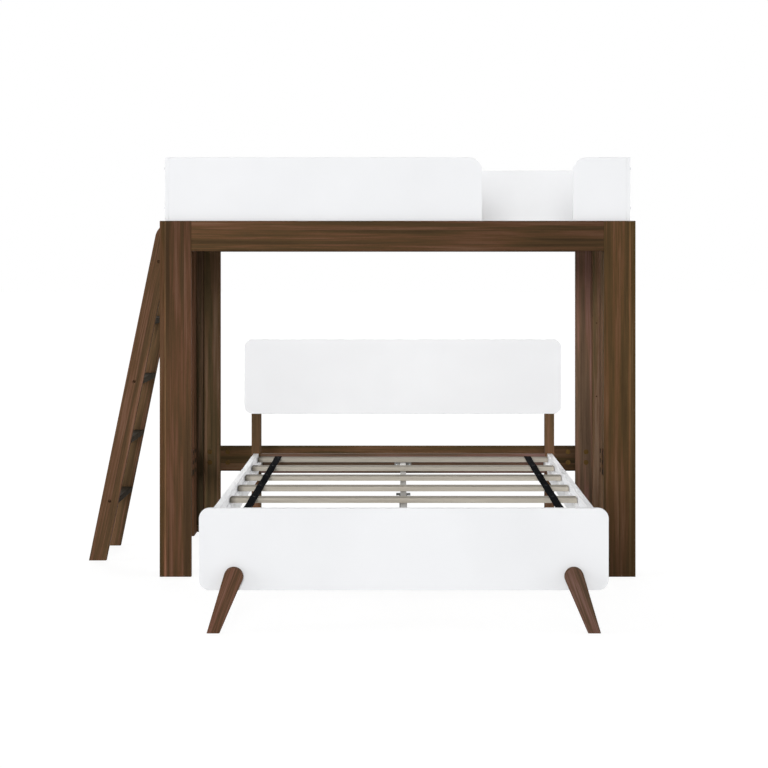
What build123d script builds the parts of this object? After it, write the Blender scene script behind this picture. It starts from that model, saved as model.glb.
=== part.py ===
"""An L-shaped bunk bed: a high loft bed with a ladder on its left end, and a low platform
bed that stands under it and comes out at the front. Millimetres, +Z up, the front faces -Y.
The origin is on the floor, in the middle of the whole footprint."""

import math
import os

from build123d import *

# The loft as a whole
loft_length = 2045.0
loft_depth = 1280.0
post_height = 1530.0
guard_rise = 274.0  # from the posts' top to the guards' top

# The loft's boards: each post is an L of a face board and a side board round a batten
board = 20.0
post_face = 136.0  # seen from the front: the face board and the side board's edge
post_side = 157.0  # seen from the end: the side board, which runs to the face
batten = 33.0
batten_lift = 40.0  # from the floor to the batten's foot
rail_height = 130.0
stretcher_low = 305.0
stretcher_height = 125.0
edge_break = 1.0

# Cam fittings that hold the low stretchers, with their covers on the inside faces
cam_radius = 7.5
cam_depth = 13.0
cover_radius = 12.0
cover_proud = 2.0
cam_from_joint_on_stretcher = 36.5
cam_from_joint_on_post = 53.5
cam_row_up = 42.5  # the rear stretcher's lower row above its lower edge
cam_row_pitch = 53.0
end_cam_row_up = 16.0  # the same for the end stretchers, which have a row more
end_cam_row_pitch = 47.0
cam_bolt_radius = 3.5
fit_play = 0.15  # round a pin, cam or bolt in its bore, on the radius

# Wooden dowels in the ends of the top rails and of the low bed's cross rail
dowel_radius = 4.0
dowel_reach = 28.0  # into each of the two boards
rail_dowel_inset = 35.0  # from the rail's upper and lower edges

# The white guards, which lap down inside the top rails and stand on the deck cleats
guard = 17.0
guard_corner = 58.0
short_guard_length = 230.0
entry_gap = 392.0
corner_screw_low = 56.0  # the lower row above the rail's top edge
corner_screw_high = 48.0  # the upper row below the guard's top
screw_head_radius = 6.0
screw_head_proud = 2.5
screw_shank_radius = 2.5
screw_reach = 40.0  # into the guard's end

# The upper deck
cleat_lift = 4.0  # above the rail's lower edge
cleat_width = 45.0
cleat_height = 38.0
slat_width = 70.0
slat_thick = 19.0
upper_slat_count = 14
slat_play = 3.0  # at each end of a slat
deck_end_inset = 12.0  # from the end guard to the first slat
strap_width = 32.0
strap_thick = 2.0
upper_strap_inset = 260.0  # from the front or rear guard to the strap's middle

# The steel beams under both decks and the saddles that carry their ends
beam_width = 25.0
beam_height = 30.0
beam_wall = 1.5
beam_end_play = 1.0
saddle_plate_width = 80.0
saddle_sheet = 3.0
saddle_length = 40.0
saddle_cheek = 22.0
saddle_play = 0.5
saddle_drop = 3.0  # from the saddle's underside to the plate's lower edge

# The ladder
ladder_foot_reach = 376.0  # from the loft's left end out to the ladder's foot
stringer_width = 76.0  # square to its edges
stringer_thick = 28.0
stringer_top_width = 62.5  # level, from the rail's face out; this sets the lean
stringer_top_round = 75.0
ladder_rest_gap = 0.3
tread_count = 5
first_tread = 269.0  # from the floor to the first tread's mid height
last_tread_drop = 177.0  # from the rail's top down to the last tread's mid height
tread_thick = 25.0
tread_depth = 76.0
tread_round = 4.0
tread_housing = 8.0  # how far a tread is let into a stringer
tread_bolt_radius = 3.0
tread_bolt_reach = 45.0
tread_bolt_head_radius = 6.6
tread_bolt_head_height = 4.0
tread_bolt_recess = 6.0
recess_play = 0.4

# The hooks that hang the ladder on the left end rail
hook_sheet = 4.0
hook_play = 0.5  # beside the rail
hook_rise = 14.0  # of the bridge over the rail
hook_lip = 15.0
hook_lip_drop = 42.0
hook_tail = 46.0  # along the stringer, out from the rail
hook_tail_drop = 95.0
hook_round = 5.0
hook_gap_to_guard = 3.0

# The low bed
bed_forward = 1134.0  # from the loft's front face to the footboard's front face
bed_aside = 24.0  # from the loft's middle to the low bed's middle, to the right
bed_inner_width = 1373.0
bed_inner_length = 1945.0
panel_overhang = 65.0  # of the panels' ends past the side rails' inner faces
panel_thick = 20.0
panel_corner = 38.0
footboard_low = 153.5
footboard_height = 300.5
headboard_low = 630.0
headboard_height = 353.0
side_rail_thick = 24.0
side_rail_drop = 15.0  # from the footboard's top to the side rails' top
side_rail_height = 120.0
side_cleat_width = 18.0
side_cleat_height = 28.0
slat_below_rail = 14.0
lower_slat_count = 6
first_lower_slat = 155.0  # from the footboard's rear face to the first slat's middle
head_slat_gap = 5.0
lower_strap_inset = 95.0  # from a side rail's inner face to the strap's middle

head_post_width = 43.0
head_post_depth = 60.0
head_post_hidden = 43.0  # from the headboard's top down to the posts' top
cross_rail_thick = 25.0
cross_rail_height = 92.0
cross_rail_drop = 1.0  # from the side rails' top to its own
cross_dowel_inset = 20.0  # from its upper and lower edges

leg_thick = 25.0
leg_round = 35.0
leg_eye_inset = 128.0  # from the footboard's end to the eye's middle
leg_eye_rise = 51.5  # from the footboard's lower edge to the eye's middle
leg_foot_width = 47.0
leg_splay = 74.0  # how far the foot's middle stands out from the eye's
leg_edge_round = 3.0
leg_bolt_rise = 12.0  # above the eye's middle
leg_bolt_drop = 30.0  # below it, along the leg

bolt_radius = 3.0
bolt_head_radius = 6.5
bolt_head_height = 4.0
bolt_into_panel = 13.0
barrel_radius = 5.0
barrel_length = 20.0
barrel_from_end = 32.0
bolt_past_barrel = 8.0
bed_bolt_inset = 32.0  # from the side rail's upper and lower edges
head_bolt_low = 70.0  # above the headboard's lower edge
head_bolt_high = 40.0  # below the head post's top

corner_bracket_arm = 40.0
corner_bracket_height = 46.0
corner_bracket_sheet = 3.0
corner_bracket_lift = 6.0  # above the side rail's lower edge

support_radius = 16.0
support_foot_radius = 25.0
support_foot_height = 12.0
support_foot_taper = 20.0  # degrees
support_plate = 60.0
support_plate_thick = 3.0

# Places, all from the sizes above
total_depth = loft_depth + bed_forward + leg_thick
total_width = loft_length + ladder_foot_reach
loft_x = ladder_foot_reach / 2
left_x = loft_x - loft_length / 2
right_x = loft_x + loft_length / 2
rear_y = total_depth / 2
front_y = rear_y - loft_depth
loft_mid_y = (front_y + rear_y) / 2
guard_top = post_height + guard_rise
rail_low = post_height - rail_height
inner_left = left_x + board
inner_right = right_x - board
inner_front = front_y + board
inner_rear = rear_y - board
cleat_low = rail_low + cleat_lift
deck_low = cleat_low + cleat_height
deck_top = deck_low + slat_thick
well_left = inner_left + guard
well_right = inner_right - guard
well_front = inner_front + guard
well_rear = inner_rear - guard

bed_x = loft_x + bed_aside
foot_y = front_y - bed_forward  # the footboard's front face
bed_start_y = foot_y + panel_thick
bed_end_y = bed_start_y + bed_inner_length  # the head posts' front face
rail_inner = bed_inner_width / 2
rail_outer = rail_inner + side_rail_thick
panel_width = bed_inner_width + 2 * panel_overhang
footboard_high = footboard_low + footboard_height
headboard_high = headboard_low + headboard_height
side_rail_top = footboard_high - side_rail_drop
side_rail_low = side_rail_top - side_rail_height
lower_slat_low = side_rail_top - slat_below_rail - slat_thick
lower_slat_top = lower_slat_low + slat_thick
head_post_mid = rail_inner + side_rail_thick / 2
head_post_inner = head_post_mid - head_post_width / 2
head_post_top = headboard_high - head_post_hidden
cross_rail_high = side_rail_top - cross_rail_drop
cross_rail_low = cross_rail_high - cross_rail_height
leg_eye_out = panel_width / 2 - leg_eye_inset
leg_eye_up = footboard_low + leg_eye_rise
leg_foot_out = leg_eye_out + leg_splay
leg_lean_share = leg_splay / leg_eye_up

ends = {"left": (left_x, 1), "right": (right_x, -1)}
faces = {"front": (front_y, 1), "rear": (rear_y, -1)}

os.makedirs("parts", exist_ok=True)


def ordered(one, other):
    return (min(one, other), max(one, other))


def save(builder, label):
    builder.part.label = label
    export_step(builder.part, f"parts/{label}.step")


# A straight board from its two ends along each axis, added to the open part or cut from it
def straight(x_pair, y_pair, z_pair, mode=Mode.ADD):
    with BuildSketch(Plane.XY.offset(z_pair[0])) as outline:
        with Locations(((x_pair[0] + x_pair[1]) / 2, (y_pair[0] + y_pair[1]) / 2)):
            Rectangle(x_pair[1] - x_pair[0], y_pair[1] - y_pair[0])
    extrude(outline.sketch, amount=z_pair[1] - z_pair[0], mode=mode)


# Round holes sunk from a face, or round studs raised on it, at points of that face's plane
def sink(face_plane, points, radius, depth):
    with BuildSketch(face_plane) as circles:
        with Locations(*points):
            Circle(radius)
    extrude(circles.sketch, amount=-depth, mode=Mode.SUBTRACT)


def raise_stud(face_plane, points, radius, height):
    with BuildSketch(face_plane) as circles:
        with Locations(*points):
            Circle(radius)
    extrude(circles.sketch, amount=height)


# Face planes: across runs along X or Y, and the second axis of every one of them is up
def plane_x(x, way):
    return Plane(origin=(x, 0, 0), x_dir=(0, way, 0), z_dir=(way, 0, 0))


def plane_y(y, way):
    return Plane(origin=(0, y, 0), x_dir=(-way, 0, 0), z_dir=(0, way, 0))


def on_x(way, points):
    return [(y * way, z) for y, z in points]


def on_y(way, points):
    return [(-x * way, z) for x, z in points]


cam_rows = [stretcher_low + cam_row_up + row * cam_row_pitch for row in range(2)]
end_cam_rows = [stretcher_low + end_cam_row_up + row * end_cam_row_pitch for row in range(3)]
rail_rows = [rail_low + rail_dowel_inset, post_height - rail_dowel_inset]
cam_bore = cam_radius + fit_play
cam_bolt_bore = cam_bolt_radius + fit_play
dowel_bore = dowel_radius + fit_play

# Posts: the side board runs the post's whole depth, the face board butts against it
for end, (outer_x, x_way) in ends.items():
    side_x = ordered(outer_x, outer_x + x_way * board)
    inner_x = outer_x + x_way * board
    face_x = ordered(inner_x, outer_x + x_way * post_face)
    face_edge_x = outer_x + x_way * post_face
    for face, (outer_y, y_way) in faces.items():
        side_edge_y = outer_y + y_way * post_side
        inner_y = outer_y + y_way * board
        with BuildPart() as post_side_board:
            straight(side_x, ordered(outer_y, side_edge_y), (0, post_height))
            chamfer(post_side_board.edges(), length=edge_break)
            cam_y = side_edge_y - y_way * cam_from_joint_on_post
            cams = [(cam_y, z) for z in end_cam_rows]
            sink(plane_x(inner_x, x_way), on_x(x_way, cams), cam_bore, cam_depth)
            mid_x = outer_x + x_way * board / 2
            edge_plane = plane_y(side_edge_y, y_way)
            bolts = [(mid_x, z) for z in end_cam_rows]
            sink(edge_plane, on_y(y_way, bolts), cam_bolt_bore, cam_from_joint_on_post)
            dowels = [(mid_x, z) for z in rail_rows]
            sink(edge_plane, on_y(y_way, dowels), dowel_bore, dowel_reach + fit_play)
        save(post_side_board, f"post_side_{face}_{end}")

        with BuildPart() as post_face_board:
            straight(face_x, ordered(outer_y, inner_y), (0, post_height))
            chamfer(post_face_board.edges(), length=edge_break)
            mid_y = outer_y + y_way * board / 2
            edge_plane = plane_x(face_edge_x, x_way)
            dowels = [(mid_y, z) for z in rail_rows]
            sink(edge_plane, on_x(x_way, dowels), dowel_bore, dowel_reach + fit_play)
            if face == "rear":
                cam_x = face_edge_x - x_way * cam_from_joint_on_post
                cams = [(cam_x, z) for z in cam_rows]
                sink(plane_y(inner_y, y_way), on_y(y_way, cams), cam_bore, cam_depth)
                bolts = [(mid_y, z) for z in cam_rows]
                sink(edge_plane, on_x(x_way, bolts), cam_bolt_bore, cam_from_joint_on_post)
        save(post_face_board, f"post_face_{face}_{end}")

# The square battens in the posts' inner corners, which reach up to the deck cleats
with BuildPart() as corner_battens:
    for outer_x, x_way in ends.values():
        for outer_y, y_way in faces.values():
            x_pair = ordered(outer_x + x_way * board, outer_x + x_way * (board + batten))
            y_pair = ordered(outer_y + y_way * board, outer_y + y_way * (board + batten))
            straight(x_pair, y_pair, (batten_lift, cleat_low))
    chamfer(corner_battens.edges(), length=edge_break)
save(corner_battens, "corner_battens")

# Top rails between the posts, flush with their outer faces
face_rail_x = (left_x + post_face, right_x - post_face)
end_rail_y = (front_y + post_side, rear_y - post_side)
for face, (outer_y, y_way) in faces.items():
    with BuildPart() as face_rail:
        straight(face_rail_x, ordered(outer_y, outer_y + y_way * board), (rail_low, post_height))
        chamfer(face_rail.edges(), length=edge_break)
        dowels = [(outer_y + y_way * board / 2, z) for z in rail_rows]
        sink(plane_x(face_rail_x[0], -1), on_x(-1, dowels), dowel_bore, dowel_reach + fit_play)
        sink(plane_x(face_rail_x[1], 1), on_x(1, dowels), dowel_bore, dowel_reach + fit_play)
    save(face_rail, f"{face}_top_rail")

for end, (outer_x, x_way) in ends.items():
    with BuildPart() as end_rail:
        straight(ordered(outer_x, outer_x + x_way * board), end_rail_y, (rail_low, post_height))
        chamfer(end_rail.edges(), length=edge_break)
        dowels = [(outer_x + x_way * board / 2, z) for z in rail_rows]
        sink(plane_y(end_rail_y[0], -1), on_y(-1, dowels), dowel_bore, dowel_reach + fit_play)
        sink(plane_y(end_rail_y[1], 1), on_y(1, dowels), dowel_bore, dowel_reach + fit_play)
    save(end_rail, f"{end}_top_rail")

with BuildPart() as rail_dowels:
    for outer_x, x_way in ends.values():
        for outer_y, y_way in faces.values():
            along_face = [(outer_y + y_way * board / 2, z) for z in rail_rows]
            start = outer_x + x_way * (post_face - dowel_reach)
            raise_stud(plane_x(start, x_way), on_x(x_way, along_face), dowel_radius, 2 * dowel_reach)
            along_end = [(outer_x + x_way * board / 2, z) for z in rail_rows]
            start = outer_y + y_way * (post_side - dowel_reach)
            raise_stud(plane_y(start, y_way), on_y(y_way, along_end), dowel_radius, 2 * dowel_reach)
save(rail_dowels, "rail_dowels")

# Low stretchers at the rear and both ends, each held by cams and double-ended cam bolts
stretcher_z = (stretcher_low, stretcher_low + stretcher_height)
with BuildPart() as rear_stretcher:
    straight(face_rail_x, (inner_rear, rear_y), stretcher_z)
    chamfer(rear_stretcher.edges(), length=edge_break)
    for edge_x, x_way in ((face_rail_x[0], -1), (face_rail_x[1], 1)):
        cams = [(edge_x - x_way * cam_from_joint_on_stretcher, z) for z in cam_rows]
        sink(plane_y(inner_rear, -1), on_y(-1, cams), cam_bore, cam_depth)
        bolts = [(rear_y - board / 2, z) for z in cam_rows]
        sink(plane_x(edge_x, x_way), on_x(x_way, bolts), cam_bolt_bore, cam_from_joint_on_stretcher)
save(rear_stretcher, "rear_stretcher")

for end, (outer_x, x_way) in ends.items():
    with BuildPart() as end_stretcher:
        straight(ordered(outer_x, outer_x + x_way * board), end_rail_y, stretcher_z)
        chamfer(end_stretcher.edges(), length=edge_break)
        for edge_y, y_way in ((end_rail_y[0], -1), (end_rail_y[1], 1)):
            cams = [(edge_y - y_way * cam_from_joint_on_stretcher, z) for z in end_cam_rows]
            face_plane = plane_x(outer_x + x_way * board, x_way)
            sink(face_plane, on_x(x_way, cams), cam_bore, cam_depth)
            bolts = [(outer_x + x_way * board / 2, z) for z in end_cam_rows]
            sink(plane_y(edge_y, y_way), on_y(y_way, bolts), cam_bolt_bore, cam_from_joint_on_stretcher)
    save(end_stretcher, f"{end}_stretcher")

# Cams with their covers: along each joint one sits in the stretcher and one in the post
cam_body = cam_depth - fit_play
with BuildPart() as cam_locks:
    for edge_x, x_way in ((face_rail_x[0], -1), (face_rail_x[1], 1)):
        for from_edge in (-cam_from_joint_on_stretcher, cam_from_joint_on_post):
            cams = on_y(-1, [(edge_x + x_way * from_edge, z) for z in cam_rows])
            raise_stud(plane_y(inner_rear, -1), cams, cam_radius, -cam_body)
            raise_stud(plane_y(inner_rear, -1), cams, cover_radius, cover_proud)
    for outer_x, x_way in ends.values():
        face_plane = plane_x(outer_x + x_way * board, x_way)
        for edge_y, y_way in ((end_rail_y[0], -1), (end_rail_y[1], 1)):
            for from_edge in (-cam_from_joint_on_stretcher, cam_from_joint_on_post):
                cams = on_x(x_way, [(edge_y + y_way * from_edge, z) for z in end_cam_rows])
                raise_stud(face_plane, cams, cam_radius, -cam_body)
                raise_stud(face_plane, cams, cover_radius, cover_proud)
save(cam_locks, "cam_locks")

cam_bolt_length = cam_from_joint_on_stretcher + cam_from_joint_on_post - 2 * cam_bore
with BuildPart() as cam_bolts:
    bolts = [(rear_y - board / 2, z) for z in cam_rows]
    for edge_x, x_way in ((face_rail_x[0], -1), (face_rail_x[1], 1)):
        start = edge_x - x_way * (cam_from_joint_on_stretcher - cam_bore)
        raise_stud(plane_x(start, x_way), on_x(x_way, bolts), cam_bolt_radius, cam_bolt_length)
    for outer_x, x_way in ends.values():
        bolts = [(outer_x + x_way * board / 2, z) for z in end_cam_rows]
        for edge_y, y_way in ((end_rail_y[0], -1), (end_rail_y[1], 1)):
            start = edge_y - y_way * (cam_from_joint_on_stretcher - cam_bore)
            raise_stud(plane_y(start, y_way), on_y(y_way, bolts), cam_bolt_radius, cam_bolt_length)
save(cam_bolts, "cam_bolts")

# Guards: the end panels run from rail to rail, the front and rear ones stand between them
guard_z = (deck_low, guard_top)
corner_rows = [post_height + corner_screw_low, guard_top - corner_screw_high]
screw_bore = screw_shank_radius + fit_play


# A guard is an upright panel, rounded at the top corners beside an entry
def guard_panel(plane, across, thick, round_low, round_high):
    with BuildSketch(plane) as outline:
        with Locations(((across[0] + across[1]) / 2, (guard_z[0] + guard_z[1]) / 2)):
            Rectangle(across[1] - across[0], guard_z[1] - guard_z[0])
        tops = outline.vertices().group_by(Axis.Y)[-1].sort_by(Axis.X)
        if round_low:
            fillet(tops[0], guard_corner)
        if round_high:
            fillet(tops[-1], guard_corner)
    extrude(outline.sketch, amount=thick)


# The rims of both broad faces are eased all round but along the hidden lower edge
def ease_rims(builder, facing):
    rims = builder.faces().filter_by(facing).edges()
    chamfer(rims.filter_by(lambda edge: edge.center().Z > guard_z[0]), length=edge_break)


front_plane = Plane.XZ.offset(-well_front)
long_guard_end = well_right - short_guard_length - entry_gap
mid_guard = guard / 2
front_screws = [(inner_front + mid_guard, z) for z in corner_rows]
rear_screws = [(inner_rear - mid_guard, z) for z in corner_rows]

with BuildPart() as front_guard_long:
    guard_panel(front_plane, (well_left, long_guard_end), guard, False, True)
    ease_rims(front_guard_long, Axis.Y)
    sink(plane_x(well_left, -1), on_x(-1, front_screws), screw_bore, screw_reach + fit_play)
save(front_guard_long, "front_guard_long")

with BuildPart() as front_guard_short:
    guard_panel(front_plane, (well_right - short_guard_length, well_right), guard, True, False)
    ease_rims(front_guard_short, Axis.Y)
    sink(plane_x(well_right, 1), on_x(1, front_screws), screw_bore, screw_reach + fit_play)
save(front_guard_short, "front_guard_short")

with BuildPart() as rear_guard:
    guard_panel(Plane.XZ.offset(-inner_rear), (well_left, well_right), guard, False, False)
    ease_rims(rear_guard, Axis.Y)
    sink(plane_x(well_left, -1), on_x(-1, rear_screws), screw_bore, screw_reach + fit_play)
    sink(plane_x(well_right, 1), on_x(1, rear_screws), screw_bore, screw_reach + fit_play)
save(rear_guard, "rear_guard")

with BuildPart() as right_end_guard:
    guard_panel(Plane.YZ.offset(well_right), (inner_front, inner_rear), guard, False, False)
    ease_rims(right_end_guard, Axis.X)
    sink(plane_x(inner_right, 1), on_x(1, front_screws + rear_screws), screw_bore, guard)
save(right_end_guard, "right_end_guard")

# The left end guard leaves an entry over the ladder, a little wider than its treads
end_entry = entry_gap / 2 + hook_gap_to_guard
left_plane = Plane.YZ.offset(inner_left)
with BuildPart() as left_end_guard_front:
    guard_panel(left_plane, (inner_front, loft_mid_y - end_entry), guard, False, True)
    ease_rims(left_end_guard_front, Axis.X)
    sink(plane_x(inner_left, -1), on_x(-1, front_screws), screw_bore, guard)
save(left_end_guard_front, "left_end_guard_front")

with BuildPart() as left_end_guard_rear:
    guard_panel(left_plane, (loft_mid_y + end_entry, inner_rear), guard, True, False)
    ease_rims(left_end_guard_rear, Axis.X)
    sink(plane_x(inner_left, -1), on_x(-1, rear_screws), screw_bore, guard)
save(left_end_guard_rear, "left_end_guard_rear")

with BuildPart() as guard_corner_screws:
    for x, x_way in ((inner_left, -1), (inner_right, 1)):
        screws = on_x(x_way, front_screws + rear_screws)
        raise_stud(plane_x(x, x_way), screws, screw_head_radius, screw_head_proud)
        raise_stud(plane_x(x, x_way), screws, screw_shank_radius, -(guard + screw_reach))
save(guard_corner_screws, "guard_corner_screws")

# Upper deck: cleats along the rails, slats across them, two straps and a steel beam
with BuildPart() as upper_cleats:
    cleat_z = (cleat_low, deck_low)
    straight((inner_left, inner_right), (inner_front, inner_front + cleat_width), cleat_z)
    straight((inner_left, inner_right), (inner_rear - cleat_width, inner_rear), cleat_z)
    chamfer(upper_cleats.edges(), length=edge_break)
save(upper_cleats, "upper_cleats")

first_upper = well_left + deck_end_inset + slat_width / 2
last_upper = well_right - deck_end_inset - slat_width / 2
upper_pitch = (last_upper - first_upper) / (upper_slat_count - 1)
with BuildPart() as upper_slats:
    slat_y = (well_front + slat_play, well_rear - slat_play)
    for index in range(upper_slat_count):
        x = first_upper + index * upper_pitch
        straight((x - slat_width / 2, x + slat_width / 2), slat_y, (deck_low, deck_top))
    chamfer(upper_slats.edges().filter_by(Axis.Y), length=edge_break)
save(upper_slats, "upper_slats")

with BuildPart() as upper_straps:
    strap_x = (first_upper - slat_width / 2, last_upper + slat_width / 2)
    for y in (well_front + upper_strap_inset, well_rear - upper_strap_inset):
        strap_y = (y - strap_width / 2, y + strap_width / 2)
        straight(strap_x, strap_y, (deck_top, deck_top + strap_thick))
save(upper_straps, "upper_straps")


# A square steel tube along a plane's normal, with its top face at the plane's origin
def beam_tube(plane, length):
    with BuildSketch(plane) as section:
        with Locations((0, -beam_height / 2)):
            Rectangle(beam_width, beam_height)
            Rectangle(beam_width - 2 * beam_wall, beam_height - 2 * beam_wall, mode=Mode.SUBTRACT)
    extrude(section.sketch, amount=length)


# A pressed saddle on a wall: its plate lies on the plane, its trough holds the beam's end
def saddle(plane):
    trough_half = beam_width / 2 + saddle_play
    plate_height = beam_height + saddle_sheet + saddle_drop
    with BuildSketch(plane) as plate:
        with Locations((0, -plate_height / 2)):
            Rectangle(saddle_plate_width, plate_height)
    extrude(plate.sketch, amount=saddle_sheet)
    with BuildSketch(plane) as trough:
        with Locations((0, -beam_height - saddle_sheet + saddle_cheek / 2)):
            Rectangle(2 * (trough_half + saddle_sheet), saddle_cheek)
        with Locations((0, -beam_height + saddle_cheek / 2)):
            Rectangle(2 * trough_half, saddle_cheek, mode=Mode.SUBTRACT)
    extrude(trough.sketch, amount=saddle_length)


beam_start = saddle_sheet + beam_end_play
with BuildPart() as upper_beam:
    origin = (inner_left + beam_start, loft_mid_y, deck_low)
    run = inner_right - inner_left - 2 * beam_start
    beam_tube(Plane(origin=origin, x_dir=(0, 1, 0), z_dir=(1, 0, 0)), run)
save(upper_beam, "upper_centre_beam")

with BuildPart() as upper_saddles:
    for x, way in ((inner_left, 1), (inner_right, -1)):
        saddle(Plane(origin=(x, loft_mid_y, deck_low), x_dir=(0, way, 0), z_dir=(way, 0, 0)))
save(upper_saddles, "upper_beam_saddles")

# Ladder: two leaning stringers, cut upright where they meet the end rail
ladder_foot_x = left_x - ladder_foot_reach
rest_x = left_x - ladder_rest_gap
lean_share = (rest_x - stringer_top_width - ladder_foot_x) / post_height
foot_width = stringer_width / math.cos(math.atan(lean_share))
ladder_half = entry_gap / 2
tread_pitch = (post_height - last_tread_drop - first_tread) / (tread_count - 1)
tread_levels = [first_tread + index * tread_pitch for index in range(tread_count)]
bolted_levels = tread_levels[::2]
housing_depth = tread_housing + fit_play


def stringer_middle(z):
    return ladder_foot_x + foot_width / 2 + z * lean_share


for face, y_way in (("front", -1), ("rear", 1)):
    stringer_in = loft_mid_y + y_way * ladder_half
    stringer_out = stringer_in + y_way * stringer_thick
    with BuildPart() as stringer:
        with BuildSketch(Plane.XZ.offset(-max(stringer_in, stringer_out))):
            with BuildLine():
                heel = ladder_foot_x + foot_width
                Polyline(
                    (ladder_foot_x, 0),
                    (heel, 0),
                    (rest_x, (rest_x - heel) / lean_share),
                    (rest_x, post_height),
                    (rest_x - stringer_top_width, post_height),
                    close=True,
                )
            make_face()
            top = vertices().group_by(Axis.Y)[-1].sort_by(Axis.X)[0]
            fillet(top, stringer_top_round)
        extrude(amount=stringer_thick)
        chamfer(stringer.edges().filter_by(Axis.Y, reverse=True), length=edge_break)
        for z in tread_levels:
            x = stringer_middle(z)
            groove_z = (z - tread_thick / 2 - fit_play, z + tread_thick / 2 + fit_play)
            groove_y = ordered(stringer_in, stringer_in + y_way * housing_depth)
            groove_x = (x - stringer_width, x + stringer_width)
            straight(groove_x, groove_y, groove_z, mode=Mode.SUBTRACT)
        outside = plane_y(stringer_out, y_way)
        bolts = on_y(y_way, [(stringer_middle(z), z) for z in bolted_levels])
        sink(outside, bolts, tread_bolt_head_radius + recess_play, tread_bolt_recess)
        sink(outside, bolts, tread_bolt_radius + fit_play, stringer_thick)
    save(stringer, f"ladder_stringer_{face}")

tread_end = ladder_half + tread_housing
for index, z in enumerate(tread_levels):
    x = stringer_middle(z)
    with BuildPart() as tread:
        with BuildSketch(Plane.XZ.offset(-(loft_mid_y + tread_end))):
            with Locations((x, z)):
                Rectangle(tread_depth, tread_thick)
            fillet(vertices(), tread_round)
        extrude(amount=2 * tread_end)
        if z in bolted_levels:
            reach = tread_bolt_reach + fit_play
            for y_way in (-1, 1):
                end_plane = plane_y(loft_mid_y + y_way * tread_end, y_way)
                sink(end_plane, on_y(y_way, [(x, z)]), tread_bolt_radius + fit_play, reach)
    save(tread, f"ladder_tread_{index + 1}")

with BuildPart() as tread_bolts:
    for y_way in (-1, 1):
        seat = loft_mid_y + y_way * (ladder_half + stringer_thick - tread_bolt_recess)
        bolts = on_y(y_way, [(stringer_middle(z), z) for z in bolted_levels])
        raise_stud(plane_y(seat, y_way), bolts, tread_bolt_head_radius, tread_bolt_head_height)
        shank = stringer_thick - tread_bolt_recess - tread_housing + tread_bolt_reach
        raise_stud(plane_y(seat, y_way), bolts, tread_bolt_radius, -shank)
save(tread_bolts, "ladder_tread_bolts")

# Flat hook plates on the stringers' inner faces, whose slots drop over the end rail
slot_left = left_x - hook_play
slot_right = inner_left + hook_play
hook_top = post_height + hook_rise
tail_left = left_x - hook_tail
with BuildPart() as hooks:
    for y_way in (-1, 1):
        outer = loft_mid_y + y_way * ladder_half
        with BuildSketch(Plane.XZ.offset(-max(outer, outer - y_way * hook_sheet))):
            with BuildLine():
                Polyline(
                    (tail_left, post_height - hook_tail_drop),
                    (slot_left, post_height - hook_tail_drop),
                    (slot_left, post_height),
                    (slot_right, post_height),
                    (slot_right, post_height - hook_lip_drop),
                    (slot_right + hook_lip, post_height - hook_lip_drop),
                    (slot_right + hook_lip, hook_top),
                    (slot_left, hook_top),
                    (tail_left, post_height - hook_tail),
                    close=True,
                )
            make_face()
            corners = vertices().filter_by(lambda point: abs(point.Y - post_height) > hook_play)
            fillet(corners, hook_round)
        extrude(amount=hook_sheet)
save(hooks, "ladder_hooks")

# Low bed: where its bolts go, worked out before the pieces that they pass through
bolt_bore = bolt_radius + fit_play
bed_bolt_levels = [side_rail_low + bed_bolt_inset, side_rail_top - bed_bolt_inset]
head_bolt_levels = [headboard_low + head_bolt_low, head_post_top - head_bolt_high]
head_posts_x = [bed_x - head_post_mid, bed_x + head_post_mid]
leg_bolts_at = []
for side in (-1, 1):
    eye_x = bed_x + side * leg_eye_out
    leg_bolts_at.append((eye_x, leg_eye_up + leg_bolt_rise))
    down_x = eye_x + side * leg_bolt_drop * leg_lean_share
    leg_bolts_at.append((down_x, leg_eye_up - leg_bolt_drop))

# Footboard and headboard panels with rounded corners
for label, low, high, front in (
    ("footboard_panel", footboard_low, footboard_high, foot_y),
    ("headboard_panel", headboard_low, headboard_high, bed_end_y - panel_thick),
):
    with BuildPart() as panel:
        with BuildSketch(Plane.XZ.offset(-(front + panel_thick))):
            with Locations((bed_x, (low + high) / 2)):
                RectangleRounded(panel_width, high - low, panel_corner)
        extrude(amount=panel_thick)
        chamfer(panel.edges().filter_by(Axis.Y, reverse=True), length=edge_break)
        back = plane_y(front + panel_thick, 1)
        if label == "footboard_panel":
            sink(back, on_y(1, leg_bolts_at), bolt_bore, panel_thick)
        else:
            bolts = [(x, z) for x in head_posts_x for z in head_bolt_levels]
            sink(back, on_y(1, bolts), bolt_bore, bolt_into_panel + fit_play)
    save(panel, label)

# Splayed front legs: a round eye on the footboard that tapers down to a narrow foot
leg_bolt_depth = leg_thick - leg_edge_round - bolt_head_height
for end, side in (("left", -1), ("right", 1)):
    eye_x = bed_x + side * leg_eye_out
    bolts = leg_bolts_at[:2] if end == "left" else leg_bolts_at[2:]
    with BuildPart() as leg:
        with BuildSketch(Plane.XZ.offset(-foot_y)):
            with Locations((eye_x, leg_eye_up)):
                Circle(leg_round)
            with BuildLine():
                foot = bed_x + side * leg_foot_out
                Line((foot - leg_foot_width / 2, 0), (foot + leg_foot_width / 2, 0))
            make_hull()
        extrude(amount=leg_thick)
        front_rim = leg.faces().sort_by(Axis.Y)[0].edges()
        chamfer(front_rim.filter_by(lambda edge: edge.center().Z > leg_edge_round), length=leg_edge_round)
        sink(plane_y(foot_y, 1), on_y(1, bolts), bolt_bore, leg_bolt_depth + fit_play)
    save(leg, f"foot_leg_{end}")

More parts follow.
